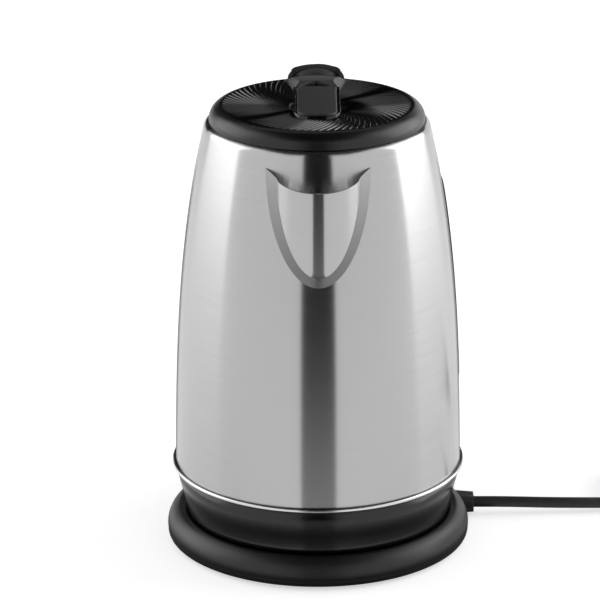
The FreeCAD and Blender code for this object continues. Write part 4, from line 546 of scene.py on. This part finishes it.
brush = add(tree, "ShaderNodeTexNoise", [(strokes.outputs[0], "Vector")],
            in_Scale=1.0, in_Detail=5.0, in_Roughness=0.65)
gloss = add(tree, "ShaderNodeMapRange", [(brush.outputs["Fac"], "Value")], in_To_Min=0.19, in_To_Max=0.25)
tint = add(tree, "ShaderNodeMapRange", [(brush.outputs["Fac"], "Value")],
           in_From_Min=0.3, in_From_Max=0.7, in_To_Min=0.94, in_To_Max=1.0)
shade = add(tree, "ShaderNodeMix", [(tint.outputs["Result"], "Factor")], data_type="RGBA",
            in_6=linear("#000000"), in_7=linear(STEEL_COLOUR))
round_axis = add(tree, "ShaderNodeTangent", direction_type="RADIAL", axis="Z")
tree.links.new(round_axis.outputs[0], shader.inputs["Tangent"])
tree.links.new(gloss.outputs["Result"], shader.inputs["Roughness"])
tree.links.new(shade.outputs[2], shader.inputs["Base Color"])

# The shoulder is a quadratic Bezier curve that goes on from the flank's slope and ends level at the rim.
STEEL_T, SHOULDER_Z, TOP_Z, RIM_R, HEM_R, HEM_H = 0.7, 225.9, 229.2, 55.8, 54.9, 3.3
INNER_BEND = [0.5, 0.5]
shoulder_r = body_r(SHOULDER_Z)
lean = (shoulder_r - body_r(SHOULDER_Z - 1.0)) * (TOP_Z - SHOULDER_Z)
bend = np.array([(shoulder_r, SHOULDER_Z), (shoulder_r + lean, TOP_Z), (RIM_R, TOP_Z)])
t = np.linspace(0.0, 1.0, 18)[:, None]
shoulder_bend = (1 - t) ** 2 * bend[0] + 2 * t * (1 - t) * bend[1] + t**2 * bend[2]
flank_z = np.linspace(LEDGE_Z, SHOULDER_Z, 60)
flank = np.stack([body_r(flank_z), flank_z], -1)
steel_profile = np.concatenate([
    flank, shoulder_bend[1:], line((HEM_R, TOP_Z), (HEM_R, TOP_Z - HEM_H)),
    line((HEM_R + STEEL_T, TOP_Z - HEM_H), (HEM_R + STEEL_T, TOP_Z - STEEL_T)),
    shoulder_bend[-2:0:-2] - INNER_BEND,
    flank[::-6] - [STEEL_T, 0.0]])
steel = piece("steel_body_skin", [(turned(steel_profile, 256), True, True)], brushed)
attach(steel, "jug")
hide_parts("steel_body")


# Spout: a separate pressed beak of the same steel, welded to the flank along its sharp edge and ground there,
# open at the top. The strainer behind it is a plain steel sheet.
SPOUT_W, SPOUT_H, SPOUT_TOP, SPOUT_T = 26.4, 58.8, 220.1, 0.8
PANEL_W, PANEL_H, PANEL_LEAN, WALL_H, CREASE_SOFT = 20.8, 51.4, 0.25, 7.5, 0.6
LIP_DROP, LIP_OUT, LIP_ROUNDS = 5.6, 18.0, 8


def beak(inset, x_share, rows):
    """
    In front view a half ellipse. A steep wall stands off the flank up to the crease, a second half ellipse;
    from there the panel leans out in proportion to the height above the crease, up to the lip's slope.
    Rows run from 0 at the lip to 1 at the crease and 2 at the edge. The lip is found by repeated steps,
    because its height and the panel's stand-off depend on each other.
    """
    x = (SPOUT_W - inset) * x_share
    edge = SPOUT_TOP - (SPOUT_H - inset) * np.sqrt(1 - x_share**2)
    crease = SPOUT_TOP - (PANEL_H - inset) * np.sqrt(np.clip(1 - (x / PANEL_W) ** 2, 0.0, 1.0))

    def stand_off(z):
        above = CREASE_SOFT * np.logaddexp(0.0, (z - crease) / CREASE_SOFT)
        outer = np.clip(1 - np.hypot(x_share, (SPOUT_TOP - z) / (SPOUT_H - inset)), 0, 1)
        inner = np.hypot(x / PANEL_W, (SPOUT_TOP - z) / (PANEL_H - inset)) - 1
        wall = np.where(inner > 0, outer / np.maximum(outer + inner, 1e-6), 1.0)
        return np.sqrt(body_r(z)**2 - x**2) - inset + WALL_H * wall + PANEL_LEAN * above

    corner = math.sqrt(body_r(SPOUT_TOP)**2 - SPOUT_W**2)
    slope = LIP_DROP / (body_r(SPOUT_TOP - LIP_DROP) + LIP_OUT - corner)
    lip = SPOUT_TOP + 0 * x
    for _ in range(LIP_ROUNDS):
        lip = SPOUT_TOP - slope * (stand_off(lip) - corner)
    lip = np.clip(lip, edge, SPOUT_TOP)
    bend = np.clip(crease, edge, lip)
    z = np.where(rows < 1.0, lip + (bend - lip) * rows, bend + (edge - bend) * (rows - 1.0))
    return np.stack([x + 0 * z, -stand_off(z), z], -1)


def face_centres_mm(thing):
    """The x, y and z of a mesh's face centres in millimetres."""
    flat = np.empty(len(thing.data.polygons) * 3)
    thing.data.polygons.foreach_get("center", flat)
    return flat.reshape(-1, 3).T * MM_PER_M


side = np.sin(np.linspace(-np.pi / 2, np.pi / 2, 97))[None, :]
panel_rows = np.linspace(0.0, 0.9, 40)
crease_rows = np.linspace(0.92, 1.08, 9)
wall_rows = np.linspace(1.15, 2.0, 18)
down = np.concatenate([panel_rows, crease_rows, wall_rows])[:, None]
spout_grid = np.concatenate([beak(0.0, side, down)[::-1], beak(SPOUT_T, side, down)])
spout = piece("spout_skin", [(spout_grid, False, False)], brushed, sharp=40.0)

# Spout wall beside the weld: duller than the brushed panel; its darker grey is a painted dark reflection.
wall_steel_painted_reflection = metal("wall_steel_painted_reflection", "#8f8f90", 0.34, 0.8)
x, y, z = face_centres_mm(spout)
on_wall = np.hypot(x / PANEL_W, (SPOUT_TOP - z) / PANEL_H) > 1.0
spout.data.materials.append(wall_steel_painted_reflection)
# The wall's faces take the darker steel, which carries the painted dark reflection.
spout.data.polygons.foreach_set("material_index", on_wall.astype(np.int32))
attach(spout, "jug")
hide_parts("spout")
dress(floor_steel, "spout_strainer")


# Water gauge: a clear moulded strip in a soft black frame, set in the right flank just behind its widest
# line. The neck ring snaps in under the hem, is black ABS and takes the lid's latch.
# Clear SAN, moulded: a water-clear plastic with a faint blue-grey cast.
clear_strip, tree, shader = surface("clear_san", "#cfd6da", 0.0, 0.06)
shader.inputs["Transmission Weight"].default_value = 0.85
shader.inputs["IOR"].default_value = 1.57
window = smooth_copy("gauge_window", clear_strip)
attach(window, "jug")
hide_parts("gauge_window")
gauge_frame = smooth_copy("gauge_frame", foot_rubber)
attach(gauge_frame, "jug")
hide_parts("gauge_frame")
dress(black_abs, "neck_ring")


# Handle: hollow black moulding from the rim to the skirt, screwed on, with a back cover and the hood of the
# lid hinge. Its top is crowned across, highest over the hinge, and runs out into the rounded grip.
HINGE_Y, HINGE_Z, PIN_CLEAR, PIN_FADE = 65.8, 231.0, 8.0, 1.5
HOOD_W, HOOD_FLAT, HOOD_ROUND = 15.2, 8.0, 7.0
HOOD_Z, HOOD_Y, HOOD_FALL = 244.9, 50.0, 0.3066
CROWN_H, CROWN_LIFT, CROWN_DEEP, CROWN_END, CROWN_RUN_OUT = 9.3, 1.4, 10.0, 105.0, 20.0
HANDLE_SHARP = 28.0

# Satin ABS: dark grey plastic from a more deeply sparked mould, so that it stays dull under the lights.
satin_abs = moulded("satin_abs", "#323234", 0.46, 0.5, 0.3)


def ease(value, start, run):
    """Smooth step: 0 up to start, 1 from start + run."""
    t = np.clip((value - start) / run, 0.0, 1.0)
    return t * t * (3 - 2 * t)


def crown_top(thing):
    """
    Cuts the handle into upright bands, then swaps the rounded edges of its flat top for half an ellipse
    across and lifts it. The change fades with depth below the top, towards the grip and near the pin.
    """
    bands = bmesh.new()
    bands.from_mesh(thing.data)
    rim = np.linspace(HOOD_FLAT + 1.0, HOOD_W - 0.1, 22)
    for x in np.concatenate([-rim[::-1], np.linspace(-HOOD_FLAT, HOOD_FLAT, 13), rim]):
        bmesh.ops.bisect_plane(bands, geom=bands.verts[:] + bands.edges[:] + bands.faces[:], dist=1e-6,
                               plane_co=(x * MM, 0, 0), plane_no=(1, 0, 0))
    bands.to_mesh(thing.data)
    bands.free()
    x, y, z = points_mm(thing).T
    wide = np.abs(x)
    round_drop = HOOD_ROUND - np.sqrt(np.clip(HOOD_ROUND**2 - (wide - HOOD_FLAT) ** 2, 0.0, None))
    edge = np.where(wide > HOOD_FLAT, round_drop, 0.0)
    crown = CROWN_H * (1 - np.sqrt(1 - np.clip(wide / HOOD_W, 0.0, 1.0) ** 2))
    depth = HOOD_Z - HOOD_FALL * (y - HOOD_Y) - z - edge
    clear = ease(np.hypot(y - HINGE_Y, z - HINGE_Z), PIN_CLEAR, PIN_FADE)
    fade = (1 - ease(depth, 0.0, CROWN_DEEP)) * (1 - ease(y, CROWN_END, CROWN_RUN_OUT)) * clear
    put_points(thing, np.stack([x, y, z + (CROWN_LIFT - crown + edge) * fade], -1))
    thing.data.set_sharp_from_angle(angle=math.radians(HANDLE_SHARP))


handle = smooth_copy("handle_shell", satin_abs, HANDLE_SHARP)
crown_top(handle)
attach(handle, "jug")
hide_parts("handle_shell")
back_cover = smooth_copy("handle_cover", satin_abs, HANDLE_SHARP)
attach(back_cover, "jug")
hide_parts("handle_cover")
dress(zinc, "handle_screws", "hinge_pin")


# Lid: one black moulding. A dished disc carries thin ribs that swirl outwards like blades; a saddle runs back
# from the button's frame to the hinge barrel, and the rounded shoulder overhangs the steel rim.
CROWN_Z, DISC_R, DISH_RISE, LID_EDGE, LID_R, LID_T = 236.3, 49.9, 1.5, 229.5, 55.8, 2.2
DISC_Z = CROWN_Z + DISH_RISE
RIBS, RIB_H, RIB_IN, RIB_W = 78, 0.6, 12.5, 0.055
SWIRL, RIB_START_RUN, RIB_END_RUN = np.radians(42.0), 4.0, 2.5
SHOULDER_MID, INNER_MID, INNER_LOW_R, INNER_TOP_R = (54.2, 235.2), (52.7, 233.6), 53.4, 49.3

# Polished lid ABS: smooth-moulded and near black, so that the ribs show as bright lines.
lid_abs = moulded("lid_abs", "#050506", 0.18, 0.5, 0.05)
# Rim ABS: as dark, from a finely sparked mould that softens its highlights.
rim_abs = moulded("rim_abs", "#040405", 0.31, 0.5, 0.25)


def dish(r):
    """Height of the disc: a paraboloid that rises from the crown to the disc's edge."""
    return CROWN_Z + DISH_RISE * (r / DISC_R) ** 2


BUTTON_W, BUTTON_FRONT, BUTTON_BACK, FRONT_ROUND, BACK_ROUND = 10.5, -25.2, 17.2, 6.5, 1.8
BUTTON_Y = (BUTTON_FRONT + BUTTON_BACK) / 2
SPINE_Z, SPINE_Y, SPINE_RISE = 239.4, -25.0, 0.06


def button_edge(x, y, grow):
    """Signed distance to the button's outline in plan, negative inside; its front corners are rounder."""
    r = np.where(y < BUTTON_Y, FRONT_ROUND, BACK_ROUND)
    qx = np.abs(x) - (BUTTON_W + grow) + r
    qy = np.abs(y - BUTTON_Y) - (BUTTON_BACK - BUTTON_Y + grow) + r
    return np.hypot(np.maximum(qx, 0), np.maximum(qy, 0)) + np.minimum(np.maximum(qx, qy), 0) - r


def spine_top(y):
    """Height of the saddle's and the button's middle line, a straight slope."""
    return SPINE_Z + SPINE_RISE * (y - SPINE_Y)


# Dome: the profile of disc, shoulder and inside carried round the axis. Its columns follow the ribs' spirals,
# which turn with the log of the radius, closer together across each bell-shaped ridge than between ribs.
across_rib = np.array([-0.36, -0.16, -0.10, -0.06, -0.03, 0.0, 0.03, 0.06, 0.10, 0.16])
phase = (np.arange(RIBS)[:, None] + across_rib[None, :]).ravel()
ridge = np.tile(np.exp(-(across_rib / RIB_W) ** 2), RIBS)
rib_r = np.concatenate([[0.01, 4.0, 7.0], np.linspace(9.5, DISC_R, 72)])
shoulder = arc((DISC_R, DISC_Z), SHOULDER_MID, (LID_R, LID_EDGE), 16)[1:]
inside = np.concatenate([line((LID_R - LID_T, LID_EDGE), (LID_R - LID_T, LID_EDGE + 0.3)),
                         arc((INNER_LOW_R, LID_EDGE + 1.0), INNER_MID, (INNER_TOP_R, DISC_Z - LID_T), 8),
                         np.stack([rib_r[::-4], dish(rib_r[::-4]) - LID_T], -1)])
lid_rows = np.concatenate([np.stack([rib_r, dish(rib_r)], -1), shoulder, inside])
row_r = lid_rows[:, 0]
twist = SWIRL * np.log(np.clip(row_r, RIB_IN, DISC_R) / RIB_IN)
theta = 2 * np.pi * phase[None, :] / RIBS - twist[:, None]
rib_fade = ease(row_r, RIB_IN, RIB_START_RUN) * ease(DISC_R - row_r, 0.0, RIB_END_RUN)
rib_fade[len(rib_r):] = 0.0
lid_z = lid_rows[:, 1:] + RIB_H * rib_fade[:, None] * ridge[None, :]
dome = np.stack([row_r[:, None] * np.cos(theta), row_r[:, None] * np.sin(theta), lid_z], -1)

# Saddle: a height field over the disc, level across its middle and narrowest behind the button, easing down
# to the disc on both sides and crowned towards the barrel; a lens-shaped finger hollow opens at its front.
SADDLE_FRONT, SADDLE_END, DISC_LEFT = BUTTON_BACK + 0.4, 59.6, 46.0
LENS_BACK, LENS_W, LENS_DEEP, LENS_EDGE = 27.2, 9.2, 4.5, 0.5
SADDLE_W, WAIST_IN, REAR_OUT = 10.6, 1.9, 3.2
FLARE_MIN, FLARE_MORE, FLARE_LEAST = 1.5, 3.5, 0.05
RIDGE_BOW, SADDLE_CROWN, BARREL_HALF = 4.2, 2.9, 12.0
SADDLE_T, SADDLE_FOOT = 0.2, LID_EDGE + 0.2
MEET_R, MEET_ANGLE = 7.8, math.radians(50)

# Where each change along the saddle starts, and over what length it runs.
WAIST, REAR, CROWNING = (18.0, 9.0), (29.0, 18.0), (38.0, 22.0)
FLARE, FLARE_OUT = (19.0, 14.0), (DISC_LEFT, 5.0)


def lens_edge(x):
    """Rear edge of the finger hollow, a parabola across the saddle."""
    return SADDLE_FRONT + (LENS_BACK - SADDLE_FRONT) * (1 - (x / LENS_W) ** 2)


saddle_y = np.concatenate([np.linspace(SADDLE_FRONT, 29.0, 60), np.linspace(29.5, SADDLE_END, 50)])[:, None]
across = np.linspace(-1.0, 1.0, 129)[None, :]
flat_w = SADDLE_W - WAIST_IN * ease(saddle_y, *WAIST) + REAR_OUT * ease(saddle_y, *REAR)
flare = (FLARE_MIN + FLARE_MORE * ease(saddle_y, *FLARE)) * (1 - ease(saddle_y, *FLARE_OUT))
saddle_x = across * (flat_w + flare)
end_y, end_z = HINGE_Y - MEET_R * math.sin(MEET_ANGLE), HINGE_Z + MEET_R * math.cos(MEET_ANGLE)
t = np.clip((saddle_y - LENS_BACK) / (end_y - LENS_BACK), 0.0, 1.0)
ridge_z = np.where(saddle_y < LENS_BACK, spine_top(saddle_y),
                   (1 - t) * spine_top(LENS_BACK) + t * end_z + RIDGE_BOW * t * (1 - t))
saddle_drop = ease(saddle_y, *CROWNING) * SADDLE_CROWN * (saddle_x / BARREL_HALF) ** 2
disc_here = dish(np.minimum(np.hypot(saddle_x, saddle_y), DISC_R))
plateau = np.where(flare < FLARE_LEAST, 1.0,
                   1 - ease(np.abs(saddle_x), flat_w, np.maximum(flare, FLARE_LEAST)))
saddle_z = disc_here + (ridge_z - saddle_drop - disc_here) * plateau
hollow = ease(lens_edge(saddle_x) - saddle_y, -LENS_EDGE / 2, LENS_EDGE) * (np.abs(saddle_x) < LENS_W)
saddle_z = saddle_z - LENS_DEEP * hollow
saddle_low = np.where(saddle_y > DISC_LEFT, SADDLE_FOOT, DISC_Z - LID_T) + 0 * saddle_x
saddle_top = np.stack([saddle_x, saddle_y + 0 * saddle_x, saddle_z], -1)
under_z = np.minimum(saddle_low, saddle_z - SADDLE_T)
saddle_under = np.stack([saddle_x, saddle_y + 0 * saddle_x, under_z], -1)
saddle = np.concatenate([saddle_top, saddle_under[:, ::-1]], 1)


# Button frame: a thin border carried round the button's outline, open at the back. Each point of the border
# is a distance out from the button and a height over the spine.
def outline(x, y, normal_x, normal_y):
    """Points of an outline in plan with their outward normals, one row each; single values are repeated."""
    return np.stack(np.broadcast_arrays(x, y, normal_x, normal_y), -1)


MIRROR = [-1, 1, -1, 1]
corner = np.linspace(0.0, np.pi / 2, 12)
low_y = BUTTON_FRONT + FRONT_ROUND
front_outline = np.concatenate([
    outline(BUTTON_W - FRONT_ROUND + FRONT_ROUND * np.cos(corner), low_y - FRONT_ROUND * np.sin(corner),
            np.cos(corner), -np.sin(corner)),
    outline(np.array([3.0, 0.0]), BUTTON_FRONT, 0.0, -1.0)])
frame_side = np.array([SADDLE_FRONT + 0.6, 10.0, 0.0, -12.0])
half_loop = np.concatenate([outline(BUTTON_W, frame_side, 1.0, 0.0), front_outline])
loop = np.concatenate([half_loop, (half_loop * MIRROR)[-2::-1]])
border = np.array([(0.4, -4.5), (0.4, -0.5), (0.5, -0.3), (0.7, -0.22),
                   (1.1, -0.22), (1.35, -0.32), (1.5, -0.6), (1.7, -4.5)])
frame_x = loop[:, :1] + loop[:, 2:3] * border[None, :, 0]
frame_y = loop[:, 1:2] + loop[:, 3:4] * border[None, :, 0]
button_frame = np.stack([frame_x, frame_y, spine_top(frame_y) + border[None, :, 1]], -1)

# Hinge barrel: an arc turned about the pin, so that it is crowned, with a bore for the pin.
BARREL_R, BARREL_ARC, BORE_R, BARREL_FRONT = 7.4, 19.24, 1.55, 57.0
barrel_x = np.linspace(-BARREL_HALF, BARREL_HALF, 33)
barrel_r = np.sqrt(BARREL_ARC**2 - barrel_x**2) - BARREL_ARC + BARREL_R
barrel_x = np.concatenate([[-BARREL_HALF], barrel_x, [BARREL_HALF]])[:, None]
barrel_r = np.concatenate([[BORE_R], barrel_r, [BORE_R]])[:, None]
round_pin = np.linspace(0.0, 2 * np.pi, 64, endpoint=False)[None, :]
barrel_y = HINGE_Y + barrel_r * np.sin(round_pin)
barrel_z = HINGE_Z + barrel_r * np.cos(round_pin)
barrel = np.stack([barrel_x + 0 * round_pin, barrel_y, barrel_z], -1)

lid_grids = [(dome, True, True), (saddle, False, True), (button_frame, False, True), (barrel, True, True)]
lid = piece("lid_cover_skin", lid_grids, lid_abs, sharp=40.0)

# The disc is cut away inside the button's outline. The faces then take three finishes: polished disc, satin
# saddle and barrel, dark shoulder; the finger hollow keeps the near-black disc finish as painted shade in the
# hollow.
WELL_TOP, WELL_GROW, OVER_DISC, SADDLE_MARGIN = 237.5, 0.5, 0.1, 0.3
well = bmesh.new()
well.from_mesh(lid.data)
middles = [f for f in well.faces if f.calc_center_median().z < WELL_TOP * MM]
spots = np.array([f.calc_center_median()[:2] for f in middles]) * MM_PER_M
inside_well = button_edge(spots[:, 0], spots[:, 1], WELL_GROW) < 0.0
bmesh.ops.delete(well, geom=[f for f, gone in zip(middles, inside_well) if gone], context="FACES")
well.to_mesh(lid.data)
well.free()
x, y, z = face_centres_mm(lid)
half_w = np.interp(y, saddle_y[:, 0], (flat_w + flare)[:, 0])
over_disc = z > dish(np.minimum(np.hypot(x, y), DISC_R)) + OVER_DISC
on_saddle = (y > SADDLE_FRONT) & (np.abs(x) < half_w - SADDLE_MARGIN) & over_disc
in_lens = (np.abs(x) < LENS_W) & (y < lens_edge(x))
on_shoulder = (np.hypot(x, y) > DISC_R) & (y < BARREL_FRONT) & ~on_saddle
# Faces in the finger hollow are left out of the satin saddle: painted shade in the hollow.
finish = np.where((on_saddle & ~in_lens) | (y > BARREL_FRONT), 1, np.where(on_shoulder, 2, 0))
lid.data.materials.append(satin_abs)
lid.data.materials.append(rim_abs)
lid.data.polygons.foreach_set("material_index", finish.astype(np.int32))
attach(lid, "lid")
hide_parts("lid_cover")


# Lid button: a separate satin ABS cap, crowned across, with a rounded edge and a rolled lip at its back,
# guided in the frame; a post under it sits on the spring. Rings step in along the outline's normals and then
# close on the middle line.
CAP_FOOT, CAP_ROUND, CAP_LIFT, CAP_CROWN = 237.0, 1.2, 0.45, 0.5
ROLL_H, ROLL_Y, ROLL_W = 0.7, 15.0, 1.3
SPRING_TOP, SPRING_Y, POST_R, POST_IN, AXIS_R = 232.35, 4.0, 3.4, 0.5, 0.01
back_turn = np.linspace(np.pi / 2, 0.0, 8)
cap_side = np.linspace(BUTTON_BACK - BACK_ROUND, low_y, 30)[1:-1]
half_cap = np.concatenate([
    outline(np.array([0.0, 4.0]), BUTTON_BACK, 0.0, 1.0),
    outline(BUTTON_W - BACK_ROUND + BACK_ROUND * np.cos(back_turn),
            BUTTON_BACK - BACK_ROUND + BACK_ROUND * np.sin(back_turn), np.cos(back_turn), np.sin(back_turn)),
    outline(BUTTON_W, cap_side, 1.0, 0.0), front_outline])
cap = np.concatenate([half_cap, (half_cap * MIRROR)[-2:0:-1]])
quarter = np.linspace(0, np.pi / 2, 8)
step = CAP_ROUND * (1 - np.cos(quarter))[:, None]
drop = CAP_ROUND * (1 - np.sin(quarter))[:, None]
edge_x = cap[None, :, 0] - cap[None, :, 2] * step
edge_y = cap[None, :, 1] - cap[None, :, 3] * step
close = np.array([0.85, 0.65, 0.4, 0.15, 0.0])[:, None]
top_x = np.concatenate([edge_x, close * edge_x[-1:]])
top_y = np.concatenate([edge_y, edge_y[-1:] + 0 * close])
rolled_lip = ROLL_H * np.exp(-((top_y - ROLL_Y) / ROLL_W) ** 2)
top_z = spine_top(top_y) + CAP_LIFT - CAP_CROWN * (top_x / BUTTON_W) ** 2 + rolled_lip
top_z = top_z - np.concatenate([drop, 0 * close])
cap_rings = np.stack([top_x, top_y, top_z], -1)
cap_foot = cap_rings[:1] * [1, 1, 0] + [0, 0, CAP_FOOT]
cap_under = cap_foot * [0, 1, 1]
post_top = CAP_FOOT + POST_IN
post_profile = np.array([(AXIS_R, SPRING_TOP), (POST_R, SPRING_TOP), (POST_R, post_top), (AXIS_R, post_top)])
post = turned(post_profile, 32) + [0.0, SPRING_Y, 0.0]
cap_grid = np.concatenate([cap_under, cap_foot, cap_rings])
button = piece("lid_button_skin", [(cap_grid, False, True), (post, True, True)], satin_abs, sharp=50.0)
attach(button, "button")
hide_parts("lid_button")


# Inside the lid: the liner and the sliding latch in black ABS, a rubber seal, plated screws and steel
# springs. The button's spring stands on the liner and takes a mesh of its own.
dress(black_abs, "lid_liner", "latch_slider")
dress(foot_rubber, "lid_seal")
dress(zinc, "lid_screws", "lid_spring")
spring = smooth_copy("button_spring", zinc)
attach(spring, "lid")
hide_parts("button_spring")
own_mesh(spring)
